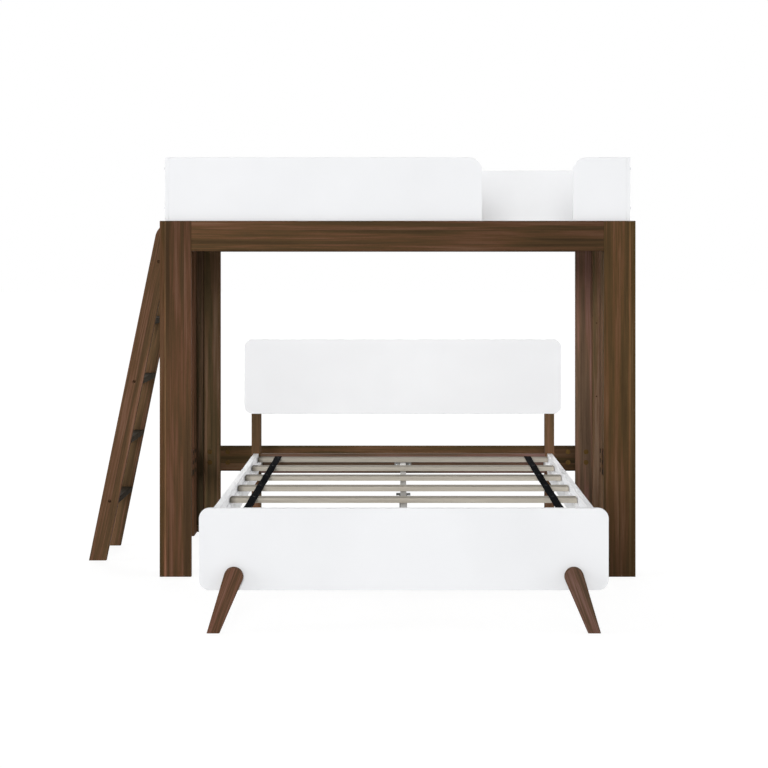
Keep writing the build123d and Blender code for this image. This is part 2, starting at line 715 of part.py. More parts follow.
with BuildPart() as leg_bolts:
    back = plane_y(bed_start_y, 1)
    raise_stud(back, on_y(1, leg_bolts_at), bolt_head_radius, bolt_head_height)
    raise_stud(back, on_y(1, leg_bolts_at), bolt_radius, -(panel_thick + leg_bolt_depth))
save(leg_bolts, "leg_bolts")

# Side rails with the cleats that carry the slats
cross_levels = [cross_rail_low + cross_dowel_inset, cross_rail_high - cross_dowel_inset]
barrel_y = bed_end_y - barrel_from_end
for end, side in (("left", -1), ("right", 1)):
    rail_x = ordered(bed_x + side * rail_inner, bed_x + side * rail_outer)
    post_mid_x = bed_x + side * head_post_mid
    with BuildPart() as side_rail:
        straight(rail_x, (bed_start_y, bed_end_y), (side_rail_low, side_rail_top))
        chamfer(side_rail.edges(), length=edge_break)
        bolts = on_y(1, [(post_mid_x, z) for z in bed_bolt_levels])
        sink(plane_y(bed_end_y, 1), bolts, bolt_bore, barrel_from_end + bolt_past_barrel + fit_play)
        nuts = on_x(-side, [(barrel_y, z) for z in bed_bolt_levels])
        sink(plane_x(bed_x + side * rail_inner, -side), nuts, barrel_radius + fit_play, barrel_length)
    save(side_rail, f"side_rail_{end}")

    with BuildPart() as head_post:
        post_x = (post_mid_x - head_post_width / 2, post_mid_x + head_post_width / 2)
        straight(post_x, (bed_end_y, bed_end_y + head_post_depth), (0, head_post_top))
        chamfer(head_post.edges(), length=edge_break)
        levels = bed_bolt_levels + head_bolt_levels
        bolts = on_y(1, [(post_mid_x, z) for z in levels])
        rear = plane_y(bed_end_y + head_post_depth, 1)
        sink(rear, bolts, bolt_head_radius + recess_play, bolt_head_height)
        sink(rear, bolts, bolt_bore, head_post_depth)
        dowels = on_x(-side, [(bed_end_y + cross_rail_thick / 2, z) for z in cross_levels])
        inner_face = plane_x(bed_x + side * head_post_inner, -side)
        sink(inner_face, dowels, dowel_bore, dowel_reach + fit_play)
    save(head_post, f"head_post_{end}")

with BuildPart() as side_cleats:
    cleat_z = (lower_slat_low - side_cleat_height, lower_slat_low)
    for side in (-1, 1):
        cleat_x = ordered(bed_x + side * (rail_inner - side_cleat_width), bed_x + side * rail_inner)
        straight(cleat_x, (bed_start_y, bed_end_y), cleat_z)
    chamfer(side_cleats.edges(), length=edge_break)
save(side_cleats, "side_cleats")

cross_x = (bed_x - head_post_inner, bed_x + head_post_inner)
cross_y = (bed_end_y, bed_end_y + cross_rail_thick)
with BuildPart() as cross_rail:
    straight(cross_x, cross_y, (cross_rail_low, cross_rail_high))
    chamfer(cross_rail.edges(), length=edge_break)
    dowels = [(bed_end_y + cross_rail_thick / 2, z) for z in cross_levels]
    for x, way in ((cross_x[0], -1), (cross_x[1], 1)):
        sink(plane_x(x, way), on_x(way, dowels), dowel_bore, dowel_reach + fit_play)
save(cross_rail, "head_cross_rail")

with BuildPart() as cross_dowels:
    for x, way in ((cross_x[0], -1), (cross_x[1], 1)):
        start = plane_x(x - way * dowel_reach, way)
        raise_stud(start, on_x(way, dowels), dowel_radius, 2 * dowel_reach)
save(cross_dowels, "cross_rail_dowels")

# Bolts from the head posts' rear: long ones into the side rails' barrel nuts, short ones up top
post_rear = plane_y(bed_end_y + head_post_depth - bolt_head_height, 1)
with BuildPart() as bed_bolts:
    for side in (-1, 1):
        post_mid_x = bed_x + side * head_post_mid
        low_bolts = on_y(1, [(post_mid_x, z) for z in bed_bolt_levels])
        high_bolts = on_y(1, [(post_mid_x, z) for z in head_bolt_levels])
        through = head_post_depth - bolt_head_height
        raise_stud(post_rear, low_bolts + high_bolts, bolt_head_radius, bolt_head_height)
        raise_stud(post_rear, low_bolts, bolt_radius, -(through + barrel_from_end + bolt_past_barrel))
        raise_stud(post_rear, high_bolts, bolt_radius, -(through + bolt_into_panel))
save(bed_bolts, "head_bolts")

with BuildPart() as barrel_nuts:
    for side in (-1, 1):
        nuts = on_x(-side, [(barrel_y, z) for z in bed_bolt_levels])
        inner_face = plane_x(bed_x + side * rail_inner, -side)
        raise_stud(inner_face, nuts, barrel_radius, -(barrel_length - fit_play))
        bolts = on_y(1, [(bed_x + side * head_post_mid, z) for z in bed_bolt_levels])
        sink(plane_y(barrel_y + 2 * barrel_radius, 1), bolts, bolt_bore, 2 * 2 * barrel_radius)
save(barrel_nuts, "barrel_nuts")

# Lower slats, straps, beam and its middle support
last_lower_slat = bed_end_y - head_slat_gap - slat_width / 2
first_slat_y = bed_start_y + first_lower_slat
lower_pitch = (last_lower_slat - first_slat_y) / (lower_slat_count - 1)
slat_half = rail_inner - slat_play
slat_x = (bed_x - slat_half, bed_x + slat_half)
with BuildPart() as lower_slats:
    for index in range(lower_slat_count):
        y = first_slat_y + index * lower_pitch
        slat_y = (y - slat_width / 2, y + slat_width / 2)
        straight(slat_x, slat_y, (lower_slat_low, lower_slat_top))
    chamfer(lower_slats.edges().filter_by(Axis.X), length=edge_break)
save(lower_slats, "lower_slats")

with BuildPart() as lower_straps:
    strap_y = (first_slat_y - slat_width / 2, last_lower_slat + slat_width / 2)
    for side in (-1, 1):
        x = bed_x + side * (rail_inner - lower_strap_inset)
        strap_z = (lower_slat_top, lower_slat_top + strap_thick)
        straight((x - strap_width / 2, x + strap_width / 2), strap_y, strap_z)
save(lower_straps, "lower_straps")

with BuildPart() as lower_beam:
    origin = (bed_x, bed_start_y + beam_start, lower_slat_low)
    run = bed_inner_length - 2 * beam_start
    beam_tube(Plane(origin=origin, x_dir=(-1, 0, 0), z_dir=(0, 1, 0)), run)
save(lower_beam, "lower_centre_beam")

with BuildPart() as lower_saddles:
    for y, way in ((bed_start_y, 1), (bed_end_y, -1)):
        origin = (bed_x, y, lower_slat_low)
        saddle(Plane(origin=origin, x_dir=(-way, 0, 0), z_dir=(0, way, 0)))
save(lower_saddles, "lower_beam_saddles")

support_y = bed_start_y + bed_inner_length / 2
beam_underside = lower_slat_low - beam_height
with BuildPart() as support_leg:
    with BuildSketch(Plane.XY.offset(support_foot_height)):
        with Locations((bed_x, support_y)):
            Circle(support_radius)
    extrude(amount=beam_underside - support_plate_thick - support_foot_height)
    with BuildSketch(Plane.XY.offset(beam_underside - support_plate_thick)):
        with Locations((bed_x, support_y)):
            Rectangle(support_plate, support_plate)
    extrude(amount=support_plate_thick)
    with BuildSketch():
        with Locations((bed_x, support_y)):
            Circle(support_foot_radius)
    extrude(amount=support_foot_height, taper=support_foot_taper)
save(support_leg, "support_leg")

# Steel angles that hold the side rails to the footboard
with BuildPart() as corner_brackets:
    for side in (-1, 1):
        wall = bed_x + side * rail_inner
        low = side_rail_low + corner_bracket_lift
        z_pair = (low, low + corner_bracket_height)
        sheet_y = (bed_start_y, bed_start_y + corner_bracket_sheet)
        straight(ordered(wall, wall - side * corner_bracket_arm), sheet_y, z_pair)
        arm_y = (bed_start_y, bed_start_y + corner_bracket_arm)
        straight(ordered(wall, wall - side * corner_bracket_sheet), arm_y, z_pair)
save(corner_brackets, "corner_brackets")

print("whole object", total_width, total_depth, guard_top)
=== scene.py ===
import math

import bmesh
import bpy
from mathutils import Matrix, Vector


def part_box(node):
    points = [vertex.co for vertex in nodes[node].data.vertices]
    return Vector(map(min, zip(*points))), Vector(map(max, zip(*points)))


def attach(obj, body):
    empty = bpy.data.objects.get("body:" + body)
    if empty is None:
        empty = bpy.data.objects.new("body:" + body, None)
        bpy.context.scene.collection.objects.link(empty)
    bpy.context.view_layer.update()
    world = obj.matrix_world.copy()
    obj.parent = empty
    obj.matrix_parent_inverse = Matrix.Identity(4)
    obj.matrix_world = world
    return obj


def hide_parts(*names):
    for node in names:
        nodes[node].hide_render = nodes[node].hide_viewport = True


# An L-shaped bunk bed, dressed for a plain studio picture: metres, +Z up, the front faces -Y.
# Sizes in the dictionaries are in mm unless a note says otherwise.
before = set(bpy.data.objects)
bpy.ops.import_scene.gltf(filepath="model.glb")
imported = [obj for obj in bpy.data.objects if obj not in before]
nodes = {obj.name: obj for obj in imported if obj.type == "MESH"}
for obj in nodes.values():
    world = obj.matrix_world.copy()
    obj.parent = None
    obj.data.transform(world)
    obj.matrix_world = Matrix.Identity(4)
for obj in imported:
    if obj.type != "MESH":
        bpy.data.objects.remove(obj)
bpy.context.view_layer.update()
mm = 0.001
axisX, axisY, axisZ = Vector((1, 0, 0)), Vector((0, 1, 0)), Vector((0, 0, 1))
print("frame loaded:", len(nodes), "nodes")


def linearColor(hexColor):
    channels = [int(hexColor[start:start + 2], 16) / 255 for start in (1, 3, 5)]
    linear = [c / 12.92 if c <= 0.04045 else ((c + 0.055) / 1.055) ** 2.4 for c in channels]
    return (*linear, 1.0)


# Adds a node, sets its properties, and fills or links its inputs
def addNode(tree, kind, settings=None, inputs=None):
    node = tree.nodes.new(kind)
    for name, value in (settings or {}).items():
        setattr(node, name, value)
    for name, value in (inputs or {}).items():
        if isinstance(value, bpy.types.NodeSocket):
            tree.links.new(value, node.inputs[name])
        else:
            node.inputs[name].default_value = value
    return node


def newMaterial(name):
    material = bpy.data.materials.new(name)
    material.use_nodes = True
    material.node_tree.nodes.clear()
    return material


def fillRamp(node, stops):
    elements = node.color_ramp.elements
    while len(elements) < len(stops):
        elements.new(1.0)
    for element, (position, color) in zip(elements, stops):
        element.position = position
        element.color = linearColor(color)
    return node.outputs["Color"]


# The turn that brings a board's width, thickness and grain to the pattern's X, Y and Z
def grainTurn(grain, across):
    thick = grain.cross(across).normalized()
    width = thick.cross(grain).normalized()
    return Matrix((width, thick, grain.normalized())).transposed().to_euler()


# Pine boards with a brown walnut stain under a dull lacquer. Glued staves each take the
# stain differently, so long reddish and olive streaks run down a board. Its eased edges are
# darker, and at some joints paler, a painted highlight on the rounded edge.
walnut = {
    "shadowStreak": "#402F1F",
    "oliveStreak": "#4C3926",
    "brown": "#553C28",
    "redBrown": "#5F4130",
    "paleStreak": "#6B4E3D",
    "streak": {"width": 32.0, "length": 900.0, "detail": 3.0, "roughness": 0.58, "bend": 0.25},
    "hair": {"width": 3.2, "length": 200.0, "detail": 3.0, "roughness": 0.6, "bend": 0.2},
    "pore": {"width": 0.7, "length": 24.0, "detail": 2.0, "roughness": 0.5, "bend": 0.0},
    "hairShare": 0.28,
    "poreSpan": (0.60, 0.72),
    "poreTone": 0.62,
    "staveWidth": 62.0,
    "firstStave": (0.37, 0.21),  # share of a stave before the middle, and the step between boards
    "patternShift": (2.71, 5.3),  # between staves and between boards
    "glueLine": 0.9,
    "glueTone": 0.80,
    "edgeBand": 9.0,
    "paintedLightSpan": (0.3, 0.65),  # cosine of the turn from the way the painted light faces, where it starts and is full
    "roughness": (0.60, 0.74),
    "hairRelief": 0.4,
    "reliefDepth": 0.10,
    "reliefStrength": 0.35,
    "ior": 1.5,
    "specular": 0.03,
}

# How a board differs from the plain stain: its two edges, low side first, darker or paler,
# some of it painted highlight and painted shade; the painted light or shade on the side that
# faces the front, which lifts boards standing in the loft's shade; and, where that side isn't
# the front, the way it faces
boardTones = {
    "plain": (0.86, 0.86, (1.0, 1.0, 1.0)),
    "post_face_front_left": (1.9, 1.0, (1.11, 1.12, 1.13)),
    "post_face_front_right": (1.0, 1.6, (1.09, 1.15, 1.01)),
    "post_side_front_left": (1.0, 1.0, (0.85, 0.90, 0.78)),
    "post_side_front_right": (0.92, 1.0, (0.72, 0.85, 0.61)),
    "post_face_rear_left": (0.95, 0.95, (1.49, 1.85, 1.91)),
    "post_face_rear_right": (0.95, 0.95, (2.38, 2.70, 3.56)),
    "post_side_rear_right": (0.95, 0.95, (2.28, 2.67, 3.24), (-0.7, -0.7, 0)),
    "corner_battens": (0.57, 1.45, (1.39, 1.80, 1.95)),
    "head_cross_rail": (1.05, 0.95, (1.67, 1.96, 2.79), (0, -0.8, -0.6)),
    "head_post_left": (1.0, 1.0, (1.37, 1.49, 1.57)),
    "head_post_right": (1.0, 1.0, (1.49, 1.67, 1.74)),
    "front_top_rail": (0.80, 0.92, (0.94, 0.98, 0.93)),
    "rear_stretcher": (0.90, 0.86, (0.97, 1.11, 1.00)),
    "ladder_stringer_front": (0.95, 1.15, (1.20, 1.27, 1.32)),
    "ladder_stringer_rear": (0.88, 0.84, (1.93, 2.13, 2.21)),
    "foot_leg_left": (1.0, 1.0, (1.22, 1.22, 1.41)),
    "foot_leg_right": (1.0, 1.0, (1.10, 1.25, 1.59)),
}

# How far a board is painted darker or lighter towards its two ends, foot or left first:
# mostly painted shade, low down and in the loft's corners where the beds and rails keep light
# off; and, where that doesn't start at the middle, how far out it starts
paintedEndShades = {
    "plain": (1.0, 1.0),
    "post_face_front_left": (0.90, 0.75),
    "post_face_front_right": (0.43, 0.92),
    "post_side_front_right": (0.57, 1.10),
    "post_face_rear_left": (1.19, 0.74),
    "post_face_rear_right": (0.57, 0.57),
    "corner_battens": (0.80, 1.10),
    "front_top_rail": (1.25, 0.80),
    "rear_stretcher": (1.0, 0.40, 0.84),
}


# The seed picks a board's own stretch of the pattern; halfWidth and edgeBand are in metres
def walnutBoard(node, grain, across, seed, halfWidth=None, hairShare=walnut["hairShare"],
                edgeBand=walnut["edgeBand"] * mm):
    low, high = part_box(node)
    halfWidth = halfWidth or abs((high - low).dot(across)) / 2
    halfLength = abs((high - low).dot(grain)) / 2
    lowTone, highTone, paintedLightShadeTint, *paintedLightWay = boardTones.get(node, boardTones["plain"])
    startTone, endTone, *fadeFrom = paintedEndShades.get(node, paintedEndShades["plain"])
    fadeStart = fadeFrom[0] * halfLength if fadeFrom else 0.0
    material = newMaterial("walnutStainedPine_" + node)
    tree = material.node_tree
    place = addNode(tree, "ShaderNodeTexCoord")
    turned = addNode(tree, "ShaderNodeMapping", {"vector_type": "TEXTURE"}, {
        "Vector": place.outputs["Object"], "Location": (low + high) / 2,
        "Rotation": grainTurn(grain, across)}).outputs[0]
    parts = addNode(tree, "ShaderNodeSeparateXYZ", None, {0: turned})
    firstStave, staveStep = walnut["firstStave"]
    staves = addNode(tree, "ShaderNodeMath", {"operation": "MULTIPLY_ADD"}, {
        0: parts.outputs["X"], 1: 1 / (walnut["staveWidth"] * mm),
        2: firstStave + seed % 3 * staveStep})
    stave = addNode(tree, "ShaderNodeMath", {"operation": "FLOOR"}, {0: staves.outputs[0]})
    staveShift, boardShift = walnut["patternShift"]
    shift = addNode(tree, "ShaderNodeMath", {"operation": "MULTIPLY_ADD"}, {
        0: stave.outputs[0], 1: staveShift, 2: boardShift * seed})

    def grainLayer(layer):
        wide, long = 1 / (layer["width"] * mm), 1 / (layer["length"] * mm)
        scaled = addNode(tree, "ShaderNodeMapping", None, {
            "Vector": turned, "Scale": (wide, wide, long)})
        return addNode(tree, "ShaderNodeTexNoise", {"noise_dimensions": "4D"}, {
            "Vector": scaled.outputs[0], "W": shift.outputs[0], "Scale": 1.0,
            "Detail": layer["detail"], "Roughness": layer["roughness"],
            "Distortion": layer["bend"]}).outputs[0]

    streak = grainLayer(walnut["streak"])
    hair = grainLayer(walnut["hair"])
    pore = grainLayer(walnut["pore"])
    figure = addNode(tree, "ShaderNodeMix", None, {0: hairShare, 2: streak, 3: hair})
    color = fillRamp(addNode(tree, "ShaderNodeValToRGB", None, {0: figure.outputs[0]}), [
        (0.38, walnut["shadowStreak"]), (0.46, walnut["oliveStreak"]), (0.50, walnut["brown"]),
        (0.54, walnut["redBrown"]), (0.62, walnut["paleStreak"])])
    poreStart, poreFull = walnut["poreSpan"]
    poreMask = addNode(tree, "ShaderNodeMapRange", None, {
        0: pore, 1: poreStart, 2: poreFull, 3: 1.0, 4: walnut["poreTone"]})
    fraction = addNode(tree, "ShaderNodeMath", {"operation": "FRACT"}, {0: staves.outputs[0]})
    glue = addNode(tree, "ShaderNodeMapRange", None, {
        0: fraction.outputs[0], 1: 0.0, 2: walnut["glueLine"] / walnut["staveWidth"],
        3: walnut["glueTone"], 4: 1.0})
    darker = addNode(tree, "ShaderNodeMath", {"operation": "MULTIPLY"}, {
        0: poreMask.outputs[0], 1: glue.outputs[0]})

    # Two edges and two ends: the way across or along, the stretch over which the tone changes,
    # the tone before and after it, and how it changes. These tones carry painted highlight and
    # painted shade.
    shades = [
        ("X", edgeBand / 2 - halfWidth, edgeBand - halfWidth, lowTone, 1.0, "SMOOTHSTEP"),
        ("X", halfWidth - edgeBand, halfWidth - edgeBand / 2, 1.0, highTone, "SMOOTHSTEP"),
        ("Z", -halfLength, -fadeStart, startTone, 1.0, "LINEAR"),
        ("Z", fadeStart, halfLength, 1.0, endTone, "LINEAR"),
    ]
    level = darker
    for way, start, finish, before, after, ease in shades:
        shade = addNode(tree, "ShaderNodeMapRange", {"interpolation_type": ease}, {
            0: parts.outputs[way], 1: start, 2: finish, 3: before, 4: after})
        level = addNode(tree, "ShaderNodeMath", {"operation": "MULTIPLY"}, {
            0: level.outputs[0], 1: shade.outputs[0]})
    shaded = addNode(tree, "ShaderNodeVectorMath", {"operation": "SCALE"}, {
        0: color, "Scale": level.outputs[0]})

    # Painted light or shade on the side that faces the front, or the way given
    facing = addNode(tree, "ShaderNodeVectorMath", {"operation": "DOT_PRODUCT"}, {
        0: place.outputs["Normal"], 1: paintedLightWay[0] if paintedLightWay else -axisY})
    paintedLightStart, paintedLightFull = walnut["paintedLightSpan"]
    paintedLightSide = addNode(tree, "ShaderNodeMapRange", None, {
        0: facing.outputs["Value"], 1: paintedLightStart, 2: paintedLightFull, 3: 0.0, 4: 1.0})
    paintedLight = addNode(tree, "ShaderNodeVectorMath", {"operation": "MULTIPLY_ADD"}, {
        0: paintedLightSide.outputs[0], 1: [channel - 1 for channel in paintedLightShadeTint], 2: (1, 1, 1)})
    stainAndPaintedLight = addNode(tree, "ShaderNodeVectorMath", {"operation": "MULTIPLY"}, {
        0: shaded.outputs[0], 1: paintedLight.outputs[0]})
    gloss, matt = walnut["roughness"]
    rough = addNode(tree, "ShaderNodeMapRange", None, {0: hair, 1: 0.3, 2: 0.7, 3: gloss, 4: matt})
    height = addNode(tree, "ShaderNodeMath", {"operation": "MULTIPLY_ADD"}, {
        0: hair, 1: walnut["hairRelief"], 2: darker.outputs[0]})
    bump = addNode(tree, "ShaderNodeBump", None, {
        "Strength": walnut["reliefStrength"], "Distance": walnut["reliefDepth"] * mm,
        "Height": height.outputs[0]})
    shader = addNode(tree, "ShaderNodeBsdfPrincipled", None, {
        "Base Color": stainAndPaintedLight.outputs[0], "Roughness": rough.outputs[0], "Normal": bump.outputs[0],
        "IOR": walnut["ior"], "Specular IOR Level": walnut["specular"]})
    addNode(tree, "ShaderNodeOutputMaterial", None, {"Surface": shader.outputs[0]})
    return material


# White two-part lacquer sprayed on panel board: cool white, a broad soft gloss, and the
# faint ripple of sprayed paint that breaks a reflection up. Solid rails let a little of their
# grain show through the paint. The rails and the panels under the loft are painted a shade
# lighter, painted light that makes up for the shade they stand in.
lacquer = {
    "white": "#F4F5F7",
    "offWhite": "#EFF0F2",
    "cloudSize": 420.0,
    "rippleSize": 5.0,
    "rippleDepth": 0.03,
    "rippleStrength": 0.25,
    "fibreWidth": 3.0,
    "fibreLength": 140.0,
    "railPrintThrough": 0.06,
    "roughness": (0.40, 0.48),
    "ior": 1.52,
    "specular": 0.2,
    # Each panel's white tone, with painted light on the rails and on the panels under the loft
    "tonesWithPaintedLight": {"headboard_panel": 0.98, "footboard_panel": 0.90, "rear_guard": 0.96,
              "plain": 0.88, "rail": 1.07},
}


def whiteLacquer(name, tone, printThrough=0.0):
    material = newMaterial(name)
    tree = material.node_tree
    place = addNode(tree, "ShaderNodeTexCoord").outputs["Object"]
    cloud = addNode(tree, "ShaderNodeTexNoise", None, {
        "Vector": place, "Scale": 1 / (lacquer["cloudSize"] * mm), "Detail": 2.0})
    surface = addNode(tree, "ShaderNodeTexNoise", None, {
        "Vector": place, "Scale": 1 / (lacquer["rippleSize"] * mm), "Detail": 1.0})
    if printThrough:
        wide, long = 1 / (lacquer["fibreWidth"] * mm), 1 / (lacquer["fibreLength"] * mm)
        grain = addNode(tree, "ShaderNodeMapping", None, {
            "Vector": place, "Scale": (wide, long, wide)})
        fibre = addNode(tree, "ShaderNodeTexNoise", None, {
            "Vector": grain.outputs[0], "Scale": 1.0, "Detail": 3.0})
        surface = addNode(tree, "ShaderNodeMath", {"operation": "MULTIPLY_ADD"}, {
            0: fibre.outputs[0], 1: printThrough, 2: surface.outputs[0]})
    color = fillRamp(addNode(tree, "ShaderNodeValToRGB", None, {0: cloud.outputs[0]}), [
        (0.35, lacquer["offWhite"]), (0.65, lacquer["white"])])
    paintedLightShadeTint = addNode(tree, "ShaderNodeVectorMath", {"operation": "SCALE"}, {0: color, "Scale": tone})
    gloss, matt = lacquer["roughness"]
    rough = addNode(tree, "ShaderNodeMapRange", None, {
        0: cloud.outputs[0], 1: 0.3, 2: 0.7, 3: gloss, 4: matt})
    bump = addNode(tree, "ShaderNodeBump", None, {
        "Strength": lacquer["rippleStrength"], "Distance": lacquer["rippleDepth"] * mm,
        "Height": surface.outputs[0]})
    shader = addNode(tree, "ShaderNodeBsdfPrincipled", None, {
        "Base Color": paintedLightShadeTint.outputs[0], "Roughness": rough.outputs[0], "Normal": bump.outputs[0],
        "IOR": lacquer["ior"], "Specular IOR Level": lacquer["specular"]})
    addNode(tree, "ShaderNodeOutputMaterial", None, {"Surface": shader.outputs[0]})
    return material


# Planed poplar slats, unfinished: a flat grey-beige with fine lengthwise grain, each slat a
# shade apart from the next. Faces that look up are painted greyer than the edges as painted
# shade, the low bed's rear slats by the headboard get painted shade, and painted shade from
# its left rail darkens the slats' left ends.
slat = {
    "grey": "#B2AB9F",
    "beige": "#C1BAAD",
    "veinColor": "#A69E91",
    "vein": {"width": 5.0, "length": 420.0, "detail": 4.0},
    "fibre": {"width": 0.9, "length": 60.0, "detail": 2.0},
    "fibreShare": 0.35,
    "bend": 0.3,
    "slatShift": 37.0,
    # Painted shade: on faces that look up, by the headboard, and at the slats' ends by the rail
    "upFacingShade": 0.9,
    "headEndShade": 0.83,
    "headEndShadeFrom": (450.0, 650.0),
    "endTone": 0.35,
    "endReach": 26.0,
    "reliefDepth": 0.08,
    "reliefStrength": 0.3,
    "roughness": 0.85,
    "ior": 1.45,
    "specular": 0.1,
}


# fade gives where, across the slats, the painted shade by the headboard begins and is full;
# ends gives where, along them, the rail's painted shade is full and where it has gone
def slatWood(name, along, pitch, fade=None, ends=None):
    material = newMaterial(name)
    tree = material.node_tree
    place = addNode(tree, "ShaderNodeTexCoord").outputs["Object"]
    parts = addNode(tree, "ShaderNodeSeparateXYZ", None, {0: place})
    lengthwise, across = parts.outputs[along], parts.outputs["Y" if along == "X" else "X"]
    which = addNode(tree, "ShaderNodeMath", {"operation": "SNAP"}, {0: across, 1: pitch})
    shift = addNode(tree, "ShaderNodeMath", {"operation": "MULTIPLY"}, {
        0: which.outputs[0], 1: slat["slatShift"]})

    def grainLayer(layer):
        wide, long = 1 / (layer["width"] * mm), 1 / (layer["length"] * mm)
        scaled = addNode(tree, "ShaderNodeMapping", None, {
            "Vector": place, "Scale": (long, wide, wide) if along == "X" else (wide, long, wide)})
        return addNode(tree, "ShaderNodeTexNoise", {"noise_dimensions": "4D"}, {
            "Vector": scaled.outputs[0], "W": shift.outputs[0], "Scale": 1.0,
            "Detail": layer["detail"], "Distortion": slat["bend"]}).outputs[0]

    vein = grainLayer(slat["vein"])
    fibre = grainLayer(slat["fibre"])
    mixed = addNode(tree, "ShaderNodeMix", None, {0: slat["fibreShare"], 2: vein, 3: fibre})
    color = fillRamp(addNode(tree, "ShaderNodeValToRGB", None, {0: mixed.outputs[0]}), [
        (0.32, slat["veinColor"]), (0.48, slat["grey"]), (0.66, slat["beige"])])
    # Painted shade on faces that look up
    facing = addNode(tree, "ShaderNodeNewGeometry").outputs["True Normal"]
    upward = addNode(tree, "ShaderNodeSeparateXYZ", None, {0: facing}).outputs["Z"]
    tone = addNode(tree, "ShaderNodeMapRange", None, {
        0: upward, 1: 0.6, 2: 0.9, 3: 1.0, 4: slat["upFacingShade"]})
    # Painted shade by the headboard and at the slats' left ends by the rail
    shades = []
    if fade:
        shades.append((across, *fade, 1.0, slat["headEndShade"]))
    if ends:
        shades.append((lengthwise, *ends, slat["endTone"], 1.0))
    for part, start, finish, before, after in shades:
        shade = addNode(tree, "ShaderNodeMapRange", None, {
            0: part, 1: start, 2: finish, 3: before, 4: after})
        tone = addNode(tree, "ShaderNodeMath", {"operation": "MULTIPLY"}, {
            0: tone.outputs[0], 1: shade.outputs[0]})
    paintedLightShadeTint = addNode(tree, "ShaderNodeVectorMath", {"operation": "SCALE"}, {
        0: color, "Scale": tone.outputs[0]})
    bump = addNode(tree, "ShaderNodeBump", None, {
        "Strength": slat["reliefStrength"], "Distance": slat["reliefDepth"] * mm, "Height": fibre})
    shader = addNode(tree, "ShaderNodeBsdfPrincipled", None, {
        "Base Color": paintedLightShadeTint.outputs[0], "Roughness": slat["roughness"], "Normal": bump.outputs[0],
        "IOR": slat["ior"], "Specular IOR Level": slat["specular"]})
    addNode(tree, "ShaderNodeOutputMaterial", None, {"Surface": shader.outputs[0]})
    return material


# Woven polypropylene webbing: near black with a cool cast, crosswise ribs that catch a
# little light, and a smooth selvedge. Real ribs are 1.2 mm apart; 2.4 mm shows in a render.
webbing = {
    "valley": "#050607",
    "thread": "#0E0F13",
    "ribPitch": 2.4,
    "warpPitch": 3.2,
    "warpShare": 0.35,
    "fuzzSize": 0.6,
    "fuzzShare": 0.3,
    "reliefDepth": 0.4,
    "reliefStrength": 0.7,
    "roughness": 0.95,
    "ior": 1.49,
    "specular": 0.01,
    "thick": 1.6,
    "sag": 2.5,
    "step": 9.0,
    "crossDivisions": 6,
}


def webbingMaterial(name, along):
    material = newMaterial(name)
    tree = material.node_tree
    place = addNode(tree, "ShaderNodeTexCoord").outputs["Object"]
    waveLength = math.pi / 10  # of a wave texture at a scale of 1, in metres
    ribs = addNode(tree, "ShaderNodeTexWave", {"bands_direction": along, "wave_profile": "SIN"}, {
        "Vector": place, "Scale": waveLength / (webbing["ribPitch"] * mm), "Distortion": 0.6,
        "Detail": 1.0, "Detail Scale": 3.0})
    warp = addNode(tree, "ShaderNodeTexWave", {
        "bands_direction": "X" if along == "Y" else "Y", "wave_profile": "SIN"}, {
        "Vector": place, "Scale": waveLength / (webbing["warpPitch"] * mm)})
    fuzz = addNode(tree, "ShaderNodeTexNoise", None, {
        "Vector": place, "Scale": 1 / (webbing["fuzzSize"] * mm), "Detail": 1.0})
    weave = addNode(tree, "ShaderNodeMath", {"operation": "MULTIPLY_ADD"}, {
        0: warp.outputs["Fac"], 1: webbing["warpShare"], 2: ribs.outputs["Fac"]})
    level = addNode(tree, "ShaderNodeMath", {"operation": "MULTIPLY_ADD"}, {
        0: fuzz.outputs[0], 1: webbing["fuzzShare"], 2: weave.outputs[0]})
    color = fillRamp(addNode(tree, "ShaderNodeValToRGB", None, {0: level.outputs[0]}), [
        (0.25, webbing["valley"]), (1.0, webbing["thread"])])
    bump = addNode(tree, "ShaderNodeBump", None, {
        "Strength": webbing["reliefStrength"], "Distance": webbing["reliefDepth"] * mm,
        "Height": level.outputs[0]})
    shader = addNode(tree, "ShaderNodeBsdfPrincipled", None, {
        "Base Color": color, "Roughness": webbing["roughness"], "Normal": bump.outputs[0],
        "IOR": webbing["ior"], "Specular IOR Level": webbing["specular"]})
    addNode(tree, "ShaderNodeOutputMaterial", None, {"Surface": shader.outputs[0]})
    return material


